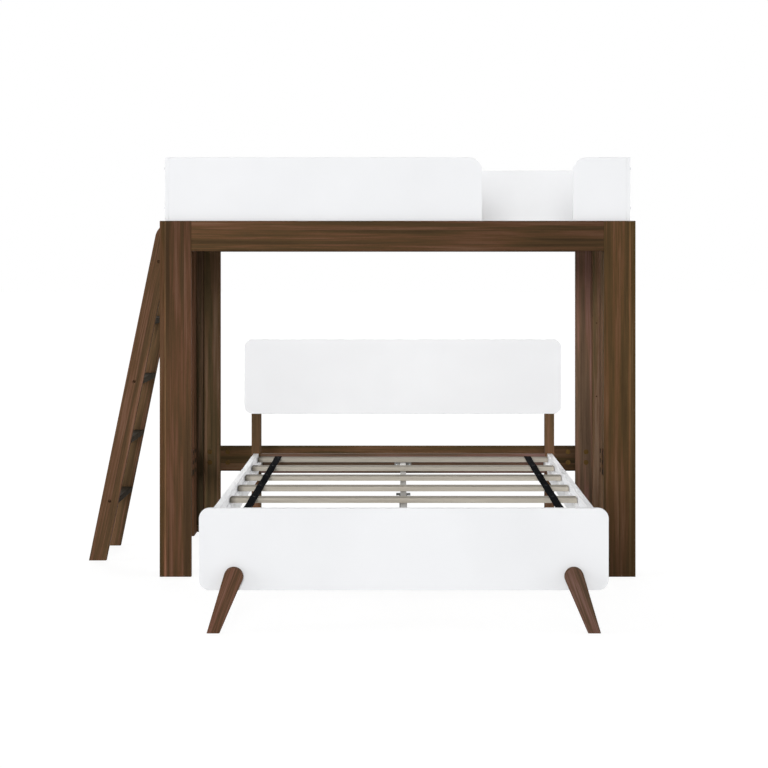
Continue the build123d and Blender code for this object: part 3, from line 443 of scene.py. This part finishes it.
# Powder coat on steel, paint on wood, plating and moulded plastic: an even colour with its
# own grit, which the numbers here give as size, depth and gloss
coatings = {
    # Satin powder coat: a fine pebbled skin with a broad sheen
    "greyPowderCoatedSteel": {
        "dark": "#96938F", "light": "#A9A6A2", "grit": 1.2, "depth": 0.05, "roughness": 0.42,
        "metallic": 0.0, "ior": 1.5, "patch": 90.0, "specular": 0.12},
    "blackPowderCoatedSteel": {
        "dark": "#141414", "light": "#1E1E1F", "grit": 1.2, "depth": 0.05, "roughness": 0.45,
        "metallic": 0.0, "ior": 1.5, "patch": 90.0, "specular": 0.3},
    # Dead matt charcoal paint with a warm cast on a planed tread
    "charcoalPaintedWood": {
        "dark": "#332D23", "light": "#40382E", "grit": 2.5, "depth": 0.08, "roughness": 0.80,
        "metallic": 0.0, "ior": 1.48, "patch": 60.0, "specular": 0.03},
    # Bright zinc plate: pale bluish metal, slightly cloudy
    "zincPlatedSteel": {
        "dark": "#A9AEB2", "light": "#C4C8CA", "grit": 3.0, "depth": 0.02, "roughness": 0.30,
        "metallic": 1.0, "ior": 1.5, "patch": 12.0, "specular": 0.5},
    # Dark bronze plate on bolts and screws: a dull brown skin that hides in the stain
    "bronzePlatedSteel": {
        "dark": "#3E2C1E", "light": "#543D2B", "grit": 2.0, "depth": 0.02, "roughness": 0.50,
        "metallic": 1.0, "ior": 1.5, "patch": 8.0, "specular": 0.2},
    # Moulded polystyrene cover caps, darker and more golden than the wood
    "brownMouldedPlastic": {
        "dark": "#4C3714", "light": "#5A431A", "grit": 0.8, "depth": 0.02, "roughness": 0.55,
        "metallic": 0.0, "ior": 1.55, "patch": 20.0, "specular": 0.08},
    # The same caps inside the corners, painted nearly black as painted shade
    "capPlasticWithPaintedShade": {
        "dark": "#171710", "light": "#211F16", "grit": 0.8, "depth": 0.02, "roughness": 0.55,
        "metallic": 0.0, "ior": 1.55, "patch": 20.0, "specular": 0.05},
    # Fluted beech dowel: pale and dry
    "beechDowel": {
        "dark": "#B08E66", "light": "#C9A97E", "grit": 1.0, "depth": 0.05, "roughness": 0.60,
        "metallic": 0.0, "ior": 1.45, "patch": 10.0, "specular": 0.3},
}
coatingSkin = {"roughnessSwing": 0.05, "gritStrength": 0.4}


def coating(name):
    look = coatings[name]
    material = newMaterial(name)
    tree = material.node_tree
    place = addNode(tree, "ShaderNodeTexCoord").outputs["Object"]
    patch = addNode(tree, "ShaderNodeTexNoise", None, {
        "Vector": place, "Scale": 1 / (look["patch"] * mm), "Detail": 3.0})
    grit = addNode(tree, "ShaderNodeTexNoise", None, {
        "Vector": place, "Scale": 1 / (look["grit"] * mm), "Detail": 2.0})
    color = fillRamp(addNode(tree, "ShaderNodeValToRGB", None, {0: patch.outputs[0]}), [
        (0.35, look["dark"]), (0.65, look["light"])])
    gloss = look["roughness"] - coatingSkin["roughnessSwing"]
    matt = look["roughness"] + coatingSkin["roughnessSwing"]
    rough = addNode(tree, "ShaderNodeMapRange", None, {
        0: patch.outputs[0], 1: 0.3, 2: 0.7, 3: gloss, 4: matt})
    bump = addNode(tree, "ShaderNodeBump", None, {
        "Strength": coatingSkin["gritStrength"], "Distance": look["depth"] * mm,
        "Height": grit.outputs[0]})
    shader = addNode(tree, "ShaderNodeBsdfPrincipled", None, {
        "Base Color": color, "Roughness": rough.outputs[0], "Normal": bump.outputs[0],
        "Metallic": look["metallic"], "IOR": look["ior"],
        "Specular IOR Level": look["specular"]})
    addNode(tree, "ShaderNodeOutputMaterial", None, {"Surface": shader.outputs[0]})
    return material


def paint(nodeName, material):
    mesh = nodes[nodeName].data
    mesh.materials.clear()
    mesh.materials.append(material)


# Every CAD node that stays gets its finish
finishes = {name: coating(name) for name in coatings}
# The rails' lighter tone is painted light
railWhite = whiteLacquer(
    "whiteLacquerOnSolidWood", lacquer["tonesWithPaintedLight"]["rail"], lacquer["railPrintThrough"])

# Lots of boards: the run of their grain, the lie of their width, and the first board's seed
boardLots = [
    (axisX, axisZ, 25, ("front_top_rail", "rear_top_rail", "rear_stretcher", "head_cross_rail")),
    (axisY, axisZ, 39, ("left_top_rail", "right_top_rail", "left_stretcher", "right_stretcher")),
    (axisZ, axisX, 53, ("head_post_left", "head_post_right")),
]
for seed, post in enumerate(("front_left", "front_right", "rear_left", "rear_right"), 1):
    paint("post_face_" + post, walnutBoard("post_face_" + post, axisZ, axisX, seed))
    paint("post_side_" + post, walnutBoard("post_side_" + post, axisZ, axisY, seed + 10))
for grain, across, firstSeed, boards in boardLots:
    for seed, board in enumerate(boards, firstSeed):
        paint(board, walnutBoard(board, grain, across, seed))
# The battens are one node across the whole loft, so its two edges are the left and right pairs:
# the left pair painted darker as painted shade, the right pair lighter as painted light
paint("corner_battens", walnutBoard("corner_battens", axisZ, axisX, 55, edgeBand=1.0))

treads = [f"ladder_tread_{number}" for number in range(1, 6)]
treadBoxes = [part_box(tread) for tread in treads]
treadMiddles = [(low + high) / 2 for low, high in treadBoxes]
ladderSlope = (treadMiddles[-1] - treadMiddles[0]).normalized()
ladderHalf = (treadBoxes[0][1].x - treadBoxes[0][0].x) / 2
stringer = {"hairShare": 0.5}  # narrow boards show more of the fine grain
for board, seed in (("ladder_stringer_front", 65), ("ladder_stringer_rear", 64)):
    paint(board, walnutBoard(board, ladderSlope, axisY.cross(ladderSlope), seed, ladderHalf,
                             stringer["hairShare"]))

leg = {"leanOut": 74.0, "height": 205.0, "hairShare": 0.7}
for board, side, seed in (("foot_leg_left", 1, 69), ("foot_leg_right", -1, 71)):
    legSlope = Vector((side * leg["leanOut"] / leg["height"], 0, 1))
    # A half width far past the leg keeps its edges plain
    paint(board, walnutBoard(board, legSlope, axisX, seed, 2.0, leg["hairShare"]))

for name in nodes:
    if "guard" in name and "screws" not in name or "board_panel" in name:
        # Panels under the loft get a lighter tone: painted light
        tone = lacquer["tonesWithPaintedLight"].get(name, lacquer["tonesWithPaintedLight"]["plain"])
        paint(name, whiteLacquer("whiteLacquer_" + name, tone))
for name in ("side_rail_left", "side_rail_right", "side_cleats", "upper_cleats"):
    paint(name, railWhite)
coatedNodes = {
    "greyPowderCoatedSteel": ["upper_centre_beam", "lower_centre_beam", "upper_beam_saddles",
                              "lower_beam_saddles", "corner_brackets"],
    "charcoalPaintedWood": treads,
    "blackPowderCoatedSteel": ["ladder_hooks", "support_leg"],
    "zincPlatedSteel": ["cam_bolts", "barrel_nuts"],
    "beechDowel": ["rail_dowels", "cross_rail_dowels"],
}
for finish, names in coatedNodes.items():
    for name in names:
        paint(name, finishes[finish])
print("boards and panels painted")


def meshFrom(bm, name):
    mesh = bpy.data.meshes.new(name)
    bm.to_mesh(mesh)
    bm.free()
    return mesh


# Pieces: a mesh in place, with its shading, finish and body
def addPiece(name, bm, material, body, smoothAngle=35):
    bmesh.ops.recalc_face_normals(bm, faces=bm.faces)
    mesh = meshFrom(bm, name)
    mesh.materials.append(material)
    mesh.shade_smooth()
    mesh.set_sharp_from_angle(angle=math.radians(smoothAngle))
    piece = bpy.data.objects.new(name, mesh)
    bpy.context.scene.collection.objects.link(piece)
    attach(piece, body)
    return piece


# The separate solids of a CAD node, each with its box and the mean of its points, in the order
# of their places
def islands(nodeName):
    bm = bmesh.new()
    bm.from_mesh(nodes[nodeName].data)
    bmesh.ops.remove_doubles(bm, verts=bm.verts, dist=0.01 * mm)
    waiting = dict.fromkeys(bm.verts)
    found = []
    while waiting:
        points, reached = [], [waiting.popitem()[0]]
        while reached:
            vert = reached.pop()
            points.append(vert.co.copy())
            for link in vert.link_edges:
                other = link.other_vert(vert)
                if other in waiting:
                    del waiting[other]
                    reached.append(other)
        low = Vector([min(point[axis] for point in points) for axis in range(3)])
        high = Vector([max(point[axis] for point in points) for axis in range(3)])
        found.append((low, high, sum(points, Vector()) / len(points)))
    bm.free()
    return sorted(found, key=lambda item: tuple(round(v, 4) for v in item[0]))


# The middle of a fastener's outer face on its axis, and the way that face looks. More points
# stand at the head than at the tip, so their mean leans that way.
def headOf(low, high, mean, axis):
    middle = (low + high) / 2
    way = Vector()
    way[axis] = 1.0 if mean[axis] > middle[axis] else -1.0
    middle[axis] = high[axis] if way[axis] > 0 else low[axis]
    return middle, way


def stamp(bm, template, at, way):
    start = len(bm.verts)
    bm.from_mesh(template)
    bm.verts.ensure_lookup_table()
    turn = axisZ.rotation_difference(way).to_matrix().to_4x4()
    bmesh.ops.transform(bm, matrix=Matrix.Translation(at) @ turn, verts=bm.verts[start:])


def edgesOf(verts):
    return list(dict.fromkeys(edge for vert in verts for edge in vert.link_edges))


def extrudeRing(bm, edges):
    made = bmesh.ops.extrude_edge_only(bm, edges=edges)["geom"]
    verts = [item for item in made if isinstance(item, bmesh.types.BMVert)]
    return verts, [item for item in made if isinstance(item, bmesh.types.BMEdge)]


fastenerForm = {"segments": 24, "shankSegments": 12, "tipShare": 0.6, "recessFit": 0.01}


# A fastener along +Z with its head's outer face at the origin: a domed head, a recess of
# four or six corners, and a plain shank
def fastenerTemplate(name, spec):
    segments = fastenerForm["segments"]
    radius, height = spec["radius"] * mm, spec["height"] * mm
    bm = bmesh.new()
    rim = bmesh.ops.create_circle(bm, segments=segments, radius=radius)["verts"]
    bmesh.ops.translate(bm, vec=(0, 0, -height), verts=rim)
    edges = edgesOf(rim)
    for growth, rise in spec["profile"]:
        ring, edges = extrudeRing(bm, edges)
        factor = growth * radius / ring[0].co.xy.length
        bmesh.ops.scale(bm, vec=(factor, factor, 1), verts=ring)
        bmesh.ops.translate(bm, vec=(0, 0, -height + rise * height - ring[0].co.z), verts=ring)
    corners, recess = spec["corners"], spec["recess"] * mm
    key = bmesh.ops.create_circle(bm, segments=corners, radius=recess)["verts"]
    bmesh.ops.subdivide_edges(bm, edges=edgesOf(key), cuts=segments // corners - 1)
    # The points between a recess's corners are pinched in, to a cross where there are four
    fit = fastenerForm["recessFit"]
    keyVerts = [vert for vert in bm.verts if vert.co.xy.length < recess * (1 + fit)]
    between = [vert for vert in keyVerts if vert.co.xy.length < recess * (1 - fit / 10)]
    bmesh.ops.scale(bm, vec=(spec["pinch"], spec["pinch"], 1), verts=between)
    keyEdges = edgesOf(keyVerts)
    bmesh.ops.bridge_loops(bm, edges=edges + keyEdges)
    floorVerts, floorEdges = extrudeRing(bm, keyEdges)
    bmesh.ops.translate(bm, vec=(0, 0, -spec["recessDepth"] * mm), verts=floorVerts)
    bmesh.ops.contextual_create(bm, geom=floorEdges)
    shankRadius, length = spec["shank"] * mm, spec["length"] * mm
    shank = bmesh.ops.create_cone(
        bm, cap_ends=True, segments=fastenerForm["shankSegments"],
        radius1=shankRadius * fastenerForm["tipShare"], radius2=shankRadius,
        depth=length - height)["verts"]
    bmesh.ops.translate(bm, vec=(0, 0, -(length + height) / 2), verts=shank)
    bmesh.ops.contextual_create(bm, geom=[edge for edge in bm.edges if edge.is_boundary])
    bmesh.ops.recalc_face_normals(bm, faces=bm.faces)
    return meshFrom(bm, name)


# A head's profile goes inwards and up in shares of its radius and height
buttonProfile = [(1.0, 0.30), (0.95, 0.58), (0.84, 0.80), (0.68, 0.95), (0.60, 1.0)]
screwProfile = [(1.0, 0.35), (0.90, 0.75), (0.74, 1.0)]
fasteners = {
    "guardScrews": {
        "node": "guard_corner_screws", "axis": 0, "body": "loft", "finish": "zincPlatedSteel",
        "slot": "zinc_plated_steel", "radius": 6.0, "height": 2.5, "recess": 2.4,
        "recessDepth": 1.8, "corners": 6, "pinch": 1.0, "shank": 2.5, "profile": buttonProfile},
    "treadBolts": {
        "node": "ladder_tread_bolts", "axis": 1, "body": "ladder", "finish": "bronzePlatedSteel",
        "slot": "bronze_plated_steel", "radius": 6.6, "height": 4.0, "recess": 2.8,
        "recessDepth": 2.6, "corners": 6, "pinch": 1.0, "shank": 3.0, "profile": buttonProfile},
    "legBolts": {
        "node": "leg_bolts", "axis": 1, "body": "low_bed", "finish": "zincPlatedSteel",
        "slot": "zinc_plated_steel", "radius": 6.5, "height": 4.0, "recess": 2.6,
        "recessDepth": 2.4, "corners": 6, "pinch": 1.0, "shank": 3.0, "profile": buttonProfile},
    "headBolts": {
        "node": "head_bolts", "axis": 1, "body": "low_bed", "finish": "zincPlatedSteel",
        "slot": "zinc_plated_steel", "radius": 6.5, "height": 4.0, "recess": 2.6,
        "recessDepth": 2.4, "corners": 6, "pinch": 1.0, "shank": 3.0, "profile": buttonProfile},
}
for name, spec in fasteners.items():
    bm = bmesh.new()
    axis = spec["axis"]
    for low, high, mean in islands(spec["node"]):
        at, way = headOf(low, high, mean, axis)
        template = fastenerTemplate(name, {**spec, "length": (high[axis] - low[axis]) / mm})
        stamp(bm, template, at, way)
        bpy.data.meshes.remove(template)
    piece = addPiece(name, bm, finishes[spec["finish"]], spec["body"])
    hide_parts(spec["node"])
print("bolts and guard screws dressed")

# Cam covers: moulded caps with a rounded rim and a slight crown over each cam lock
camCap = {"radius": 12.0, "proud": 2.0, "crown": 0.3, "crownRing": 4.0, "rimRound": 1.1,
          "plugRadius": 7.5, "plugLength": 12.8}


def capTemplate():
    flat = camCap["proud"] - camCap["crown"]
    radius, plugRadius = camCap["radius"] * mm, camCap["plugRadius"] * mm
    bm = bmesh.new()
    disc = bmesh.ops.create_cone(
        bm, cap_ends=True, segments=32, radius1=radius, radius2=radius, depth=flat * mm)["verts"]
    bmesh.ops.translate(bm, vec=(0, 0, -(camCap["crown"] + flat / 2) * mm), verts=disc)
    top = max(bm.faces, key=lambda item: item.calc_center_median().z)
    bmesh.ops.bevel(bm, geom=list(top.edges), offset=camCap["rimRound"] * mm, affect="EDGES",
                    segments=3, profile=0.5, material=-1)
    top = max(bm.faces, key=lambda item: item.calc_center_median().z)
    bmesh.ops.inset_individual(bm, faces=[top], thickness=camCap["crownRing"] * mm, depth=0.0)
    bmesh.ops.translate(bm, vec=(0, 0, camCap["crown"] * mm), verts=top.verts)
    plug = bmesh.ops.create_cone(
        bm, cap_ends=True, segments=24, radius1=plugRadius, radius2=plugRadius,
        depth=camCap["plugLength"] * mm)["verts"]
    plugMiddle = camCap["proud"] + camCap["plugLength"] / 2
    bmesh.ops.translate(bm, vec=(0, 0, -plugMiddle * mm), verts=plug)
    return meshFrom(bm, "cap")


cap = capTemplate()
capMeshes = {"camCaps": bmesh.new(), "innerCamCaps": bmesh.new()}
for low, high, mean in islands("cam_locks"):
    size = high - low
    axis = min(range(3), key=lambda index: size[index])
    at, way = headOf(low, high, mean, axis)
    # Caps that look sideways, inside the corners, take the copy with painted shade
    stamp(capMeshes["innerCamCaps" if axis == 0 else "camCaps"], cap, at, way)
camCaps = addPiece("camCaps", capMeshes["camCaps"], finishes["brownMouldedPlastic"], "loft")
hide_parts("cam_locks")
addPiece("innerCamCaps", capMeshes["innerCamCaps"], finishes["capPlasticWithPaintedShade"], "loft")
print("cam caps made")

# Small wood screws with a cross recess, set where the boards are joined from inside
screw = {
    "radius": 3.6, "height": 1.0, "recess": 2.3, "recessDepth": 0.8, "corners": 4, "pinch": 0.55,
    "shank": 1.8, "length": 14.0, "profile": screwProfile,
    "battenTop": 1045.0, "battenPitch": 365.0, "battenRows": 2, "battenStagger": 36.0,
    "battenAside": 3.0,
    "cleatPitch": 300.0, "cleatEnd": 120.0,
    "guardPitch": 380.0, "guardUp": 36.0, "guardEnd": 60.0, "endGuardEnd": 70.0,
    "steelThick": 3.0, "saddleAside": 30.0,
    "bracketUpShares": (0.3, 0.7), "bracketEnd": 14.0, "bracketAside": 26.0,
    "hookIn": 24.0, "hookUps": (30.0, 75.0),
}
smallScrew = fastenerTemplate("smallScrew", screw)
# The middles of the loft and the low bed, which the boards' inner faces look to
loftMiddle = sum(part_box("rear_guard"), Vector()) / 2
loftMiddle.y = sum(corner.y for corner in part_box("right_end_guard")) / 2
bedMiddle = sum(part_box("lower_slats"), Vector()) / 2


# Which way along an axis a solid has to look to face the middle
def inwardOf(low, high, middle, axis):
    return 1.0 if (low[axis] + high[axis]) / 2 < middle[axis] else -1.0


# Where a board's inner face is on an axis
def innerFace(low, high, axis, inward):
    return high[axis] if inward > 0 else low[axis]


# Where a steel fitting's inner face is, whose plate stands against the board behind it
def plateFace(low, high, axis, inward):
    return (low[axis] if inward > 0 else high[axis]) + inward * screw["steelThick"] * mm


# One screw with its head on a face, looking along an axis
def setScrew(bm, at, axis, face, inward):
    at[axis] = face + inward * screw["height"] * mm
    way = Vector()
    way[axis] = inward
    stamp(bm, smallScrew, at, way)


# A row of screws along a board's inner face, level with the floor
def screwRow(bm, low, high, axis, inward, level, pitch, endGap):
    along = 1 - axis
    start, finish = low[along] + endGap * mm, high[along] - endGap * mm
    count = max(2, int((high[along] - low[along]) / (pitch * mm)))
    for index in range(count):
        at = Vector((0, 0, level))
        at[along] = start + (finish - start) * index / (count - 1)
        setScrew(bm, at, axis, innerFace(low, high, axis, inward), inward)


# Two screws through each saddle's upright plate, either side of the beam
def saddleScrews(bm, nodeName, axis, middle):
    for low, high, mean in islands(nodeName):
        inward = inwardOf(low, high, middle, axis)
        for side in (-1, 1):
            at = (low + high) / 2
            at[1 - axis] += side * screw["saddleAside"] * mm
            setScrew(bm, at, axis, plateFace(low, high, axis, inward), inward)


battenScrews = bmesh.new()
for low, high, mean in islands("corner_battens"):
    middle = (low + high) / 2
    inX, inY = (inwardOf(low, high, loftMiddle, axis) for axis in (0, 1))
    for row in range(screw["battenRows"]):
        level = (screw["battenTop"] - row * screw["battenPitch"]) * mm
        at = Vector((middle.x - inX * screw["battenAside"] * mm, 0, level))
        setScrew(battenScrews, at, 1, innerFace(low, high, 1, inY), inY)
        at = Vector((0, middle.y, level + screw["battenStagger"] * mm))
        setScrew(battenScrews, at, 0, innerFace(low, high, 0, inX), inX)
addPiece("battenScrews", battenScrews, finishes["bronzePlatedSteel"], "loft")

loftScrews = bmesh.new()
for low, high, mean in islands("upper_cleats"):
    screwRow(loftScrews, low, high, 1, inwardOf(low, high, loftMiddle, 1), (low.z + high.z) / 2,
             screw["cleatPitch"], screw["cleatEnd"])
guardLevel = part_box("upper_slats")[1].z + screw["guardUp"] * mm
for name, inward in (("front_guard_long", 1), ("front_guard_short", 1), ("rear_guard", -1)):
    screwRow(loftScrews, *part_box(name), 1, inward, guardLevel, screw["guardPitch"],
             screw["guardEnd"])
for name, inward in (("right_end_guard", -1), ("left_end_guard_front", 1),
                     ("left_end_guard_rear", 1)):
    screwRow(loftScrews, *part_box(name), 0, inward, guardLevel, screw["guardPitch"],
             screw["endGuardEnd"])
saddleScrews(loftScrews, "upper_beam_saddles", 0, loftMiddle)
addPiece("loftScrews", loftScrews, finishes["zincPlatedSteel"], "loft")

# The screws in the low bed's cleats are lacquered over with them
cleatScrews = bmesh.new()
for low, high, mean in islands("side_cleats"):
    screwRow(cleatScrews, low, high, 0, inwardOf(low, high, bedMiddle, 0), (low.z + high.z) / 2,
             screw["cleatPitch"], screw["cleatEnd"])
addPiece("cleatScrews", cleatScrews, railWhite, "low_bed")

bedScrews = bmesh.new()
saddleScrews(bedScrews, "lower_beam_saddles", 1, bedMiddle)
for low, high, mean in islands("corner_brackets"):
    side = inwardOf(low, high, bedMiddle, 0)
    outer = low.x if side > 0 else high.x
    for share in screw["bracketUpShares"]:
        z = low.z + (high.z - low.z) * share
        at = Vector((0, high.y - screw["bracketEnd"] * mm, z))
        setScrew(bedScrews, at, 0, plateFace(low, high, 0, side), side)
        at = Vector((outer + side * screw["bracketAside"] * mm, 0, z))
        setScrew(bedScrews, at, 1, plateFace(low, high, 1, 1.0), 1.0)
addPiece("bedScrews", bedScrews, finishes["zincPlatedSteel"], "low_bed")

ladderScrews = bmesh.new()
for low, high, mean in islands("ladder_hooks"):
    inward = inwardOf(low, high, loftMiddle, 1)
    for rise in screw["hookUps"]:
        at = Vector((low.x + screw["hookIn"] * mm, 0, low.z + rise * mm))
        setScrew(ladderScrews, at, 1, innerFace(low, high, 1, inward), inward)
addPiece("ladderScrews", ladderScrews, finishes["bronzePlatedSteel"], "ladder")
print("small screws made")

# Slat straps: webbing laid over the slats, a touch slack between them, stapled to each
staple = {"crown": 10.0, "wire": 1.1, "spacing": 16.0, "round": 0.3}


# One strap as a flat grid that sags between its rests, which are the slats' two sides
def strapMesh(bm, low, high, rests, axis):
    middle = (low + high) / 2
    length, width = high[axis] - low[axis], high[1 - axis] - low[1 - axis]
    count, divisions = int(length / (webbing["step"] * mm)), webbing["crossDivisions"]
    segmentsX, segmentsY = (count, divisions) if axis == 0 else (divisions, count)
    stretch = (length, width, 1) if axis == 0 else (width, length, 1)
    middle.z = low.z + webbing["thick"] * mm / 2
    grid = bmesh.ops.create_grid(
        bm, x_segments=segmentsX, y_segments=segmentsY, size=0.5)["verts"]
    bmesh.ops.scale(bm, vec=stretch, verts=grid)
    bmesh.ops.translate(bm, vec=middle, verts=grid)
    for vert in grid:
        along = vert.co[axis]
        for before, after in zip(rests, rests[1:]):
            if before[1] < along < after[0]:
                share = (along - before[1]) / (after[0] - before[1])
                vert.co.z -= webbing["sag"] * mm * 4 * share * (1 - share)


def strapsOn(strapNode, slatNode, axis, body, name):
    straps, staples = bmesh.new(), bmesh.new()
    crown, thin = staple["crown"] * mm, staple["wire"] * mm
    span = (thin, crown, thin) if axis == 0 else (crown, thin, thin)
    slats = sorted((low[axis], high[axis]) for low, high, mean in islands(slatNode))
    for low, high, mean in islands(strapNode):
        strapMesh(straps, low, high, slats, axis)
        for start, end in slats:
            for side in (-0.5, 0.5):
                at = (low + high) / 2
                at[axis] = (start + end) / 2 + side * staple["spacing"] * mm
                at.z = low.z + webbing["thick"] * mm + thin / 3
                wire = bmesh.ops.create_cube(staples, size=1.0)["verts"]
                bmesh.ops.scale(staples, vec=span, verts=wire)
                bmesh.ops.translate(staples, vec=at, verts=wire)
    bmesh.ops.bevel(staples, geom=list(staples.edges), offset=staple["round"] * mm, affect="EDGES",
                    segments=2, profile=0.5, material=-1)
    material = webbingMaterial(name + "Webbing", "XY"[axis])
    piece = addPiece(name, straps, material, body)
    wall = piece.modifiers.new("webbingThickness", "SOLIDIFY")
    wall.thickness = webbing["thick"] * mm
    wall.offset = 0.0
    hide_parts(strapNode)
    addPiece(name + "Staples", staples, finishes["blackPowderCoatedSteel"], body)


strapsOn("lower_straps", "lower_slats", 1, "low_bed", "lowerStraps")
strapsOn("upper_straps", "upper_slats", 0, "loft", "upperStraps")
lowerSlats = [low for low, high, mean in islands("lower_slats")]
upperSlats = [low for low, high, mean in islands("upper_slats")]
lowerPitch = abs(lowerSlats[1].y - lowerSlats[0].y)
upperPitch = abs(upperSlats[1].x - upperSlats[0].x)
paint("lower_slats", slatWood(
    "planedPoplarLower", "X", lowerPitch, fade=[place * mm for place in slat["headEndShadeFrom"]],
    ends=(lowerSlats[0].x, lowerSlats[0].x + slat["endReach"] * mm)))
paint("upper_slats", slatWood("planedPoplarUpper", "Y", upperPitch))
print("slats and straps dressed")

# Studio: a pale floor without an end, an even white surround, and four broad lamps round
# the bed. The front one stands low, so that it reaches in under the loft. Angles are in
# degrees, and the floor's reach in metres.
studio = {
    "white": "#FFFFFF",
    "surround": 0.18,
    "lamps": {
        "front": {"strength": 1.77, "fromLeft": 5.0, "height": 9.0, "softness": 14.0},
        "left": {"strength": 1.5, "fromLeft": 80.0, "height": 14.0, "softness": 30.0},
        "right": {"strength": 1.35, "fromLeft": -82.0, "height": 14.0, "softness": 40.0},
        "rear": {"strength": 1.55, "fromLeft": 172.0, "height": 30.0, "softness": 40.0},
    },
    "floorColor": "#F2F2F2",
    "floorWhite": 0.74,
    "floorGlow": 1.18,
    "floorReach": 120.0,
}
scene = bpy.context.scene
scene.view_settings.view_transform = "Standard"


# 1 for what the camera sees, also mirrored or through something clear, and 0 for other light
def seenShare(tree):
    path = addNode(tree, "ShaderNodeLightPath")
    seen = addNode(tree, "ShaderNodeMath", {"operation": "MAXIMUM"}, {
        0: path.outputs["Is Camera Ray"], 1: path.outputs["Is Glossy Ray"]})
    return addNode(tree, "ShaderNodeMath", {"operation": "MAXIMUM"}, {
        0: seen.outputs[0], 1: path.outputs["Is Transmission Ray"]}).outputs[0]


world = bpy.data.worlds.new("whiteSurround")
scene.world = world
world.use_nodes = True
tree = world.node_tree
tree.nodes.clear()
strength = addNode(tree, "ShaderNodeMapRange", None, {
    0: seenShare(tree), 3: studio["surround"], 4: 1.0})
sky = addNode(tree, "ShaderNodeBackground", None, {
    "Color": linearColor(studio["white"]), "Strength": strength.outputs[0]})
addNode(tree, "ShaderNodeOutputWorld", None, {"Surface": sky.outputs[0]})

floorMaterial = newMaterial("paleStudioFloor")
tree = floorMaterial.node_tree
share = addNode(tree, "ShaderNodeMath", {"operation": "MULTIPLY"}, {
    0: seenShare(tree), 1: studio["floorWhite"]})
paper = addNode(tree, "ShaderNodeBsdfDiffuse", None, {"Color": linearColor(studio["floorColor"])})
glow = addNode(tree, "ShaderNodeEmission", None, {
    "Color": linearColor(studio["white"]), "Strength": studio["floorGlow"]})
both = addNode(tree, "ShaderNodeMixShader", None, {
    0: share.outputs[0], 1: paper.outputs[0], 2: glow.outputs[0]})
addNode(tree, "ShaderNodeOutputMaterial", None, {"Surface": both.outputs[0]})
bm = bmesh.new()
bmesh.ops.create_grid(bm, x_segments=1, y_segments=1, size=studio["floorReach"] / 2)
floorMesh = meshFrom(bm, "studioFloor")
floorMesh.materials.append(floorMaterial)
floor = bpy.data.objects.new("studioFloor", floorMesh)
scene.collection.objects.link(floor)

for name, lamp in studio["lamps"].items():
    lampData = bpy.data.lights.new(name + "Light", "SUN")
    lampData.energy = lamp["strength"]
    lampData.angle = math.radians(lamp["softness"])
    light = bpy.data.objects.new(name + "Light", lampData)
    light.rotation_euler = (
        math.radians(90 - lamp["height"]), 0, math.radians(-lamp["fromLeft"]))
    scene.collection.objects.link(light)

# Camera: level, at the photograph's distance and height, slid sideways and up by its shift.
# The place is in metres.
view = {"place": (0.1975, -7.7945, 1.3790), "lens": 84.375, "sensor": 36.0,
        "shift": (-0.0206, -0.1667), "farthest": 200.0}
cameraData = bpy.data.cameras.new("photoView")
cameraData.lens = view["lens"]
cameraData.sensor_width = view["sensor"]
cameraData.shift_x, cameraData.shift_y = view["shift"]
cameraData.clip_end = view["farthest"]
camera = bpy.data.objects.new("photoView", cameraData)
camera.location = view["place"]
camera.rotation_euler = (math.radians(90), 0, 0)
scene.collection.objects.link(camera)
scene.camera = camera
print("studio ready")
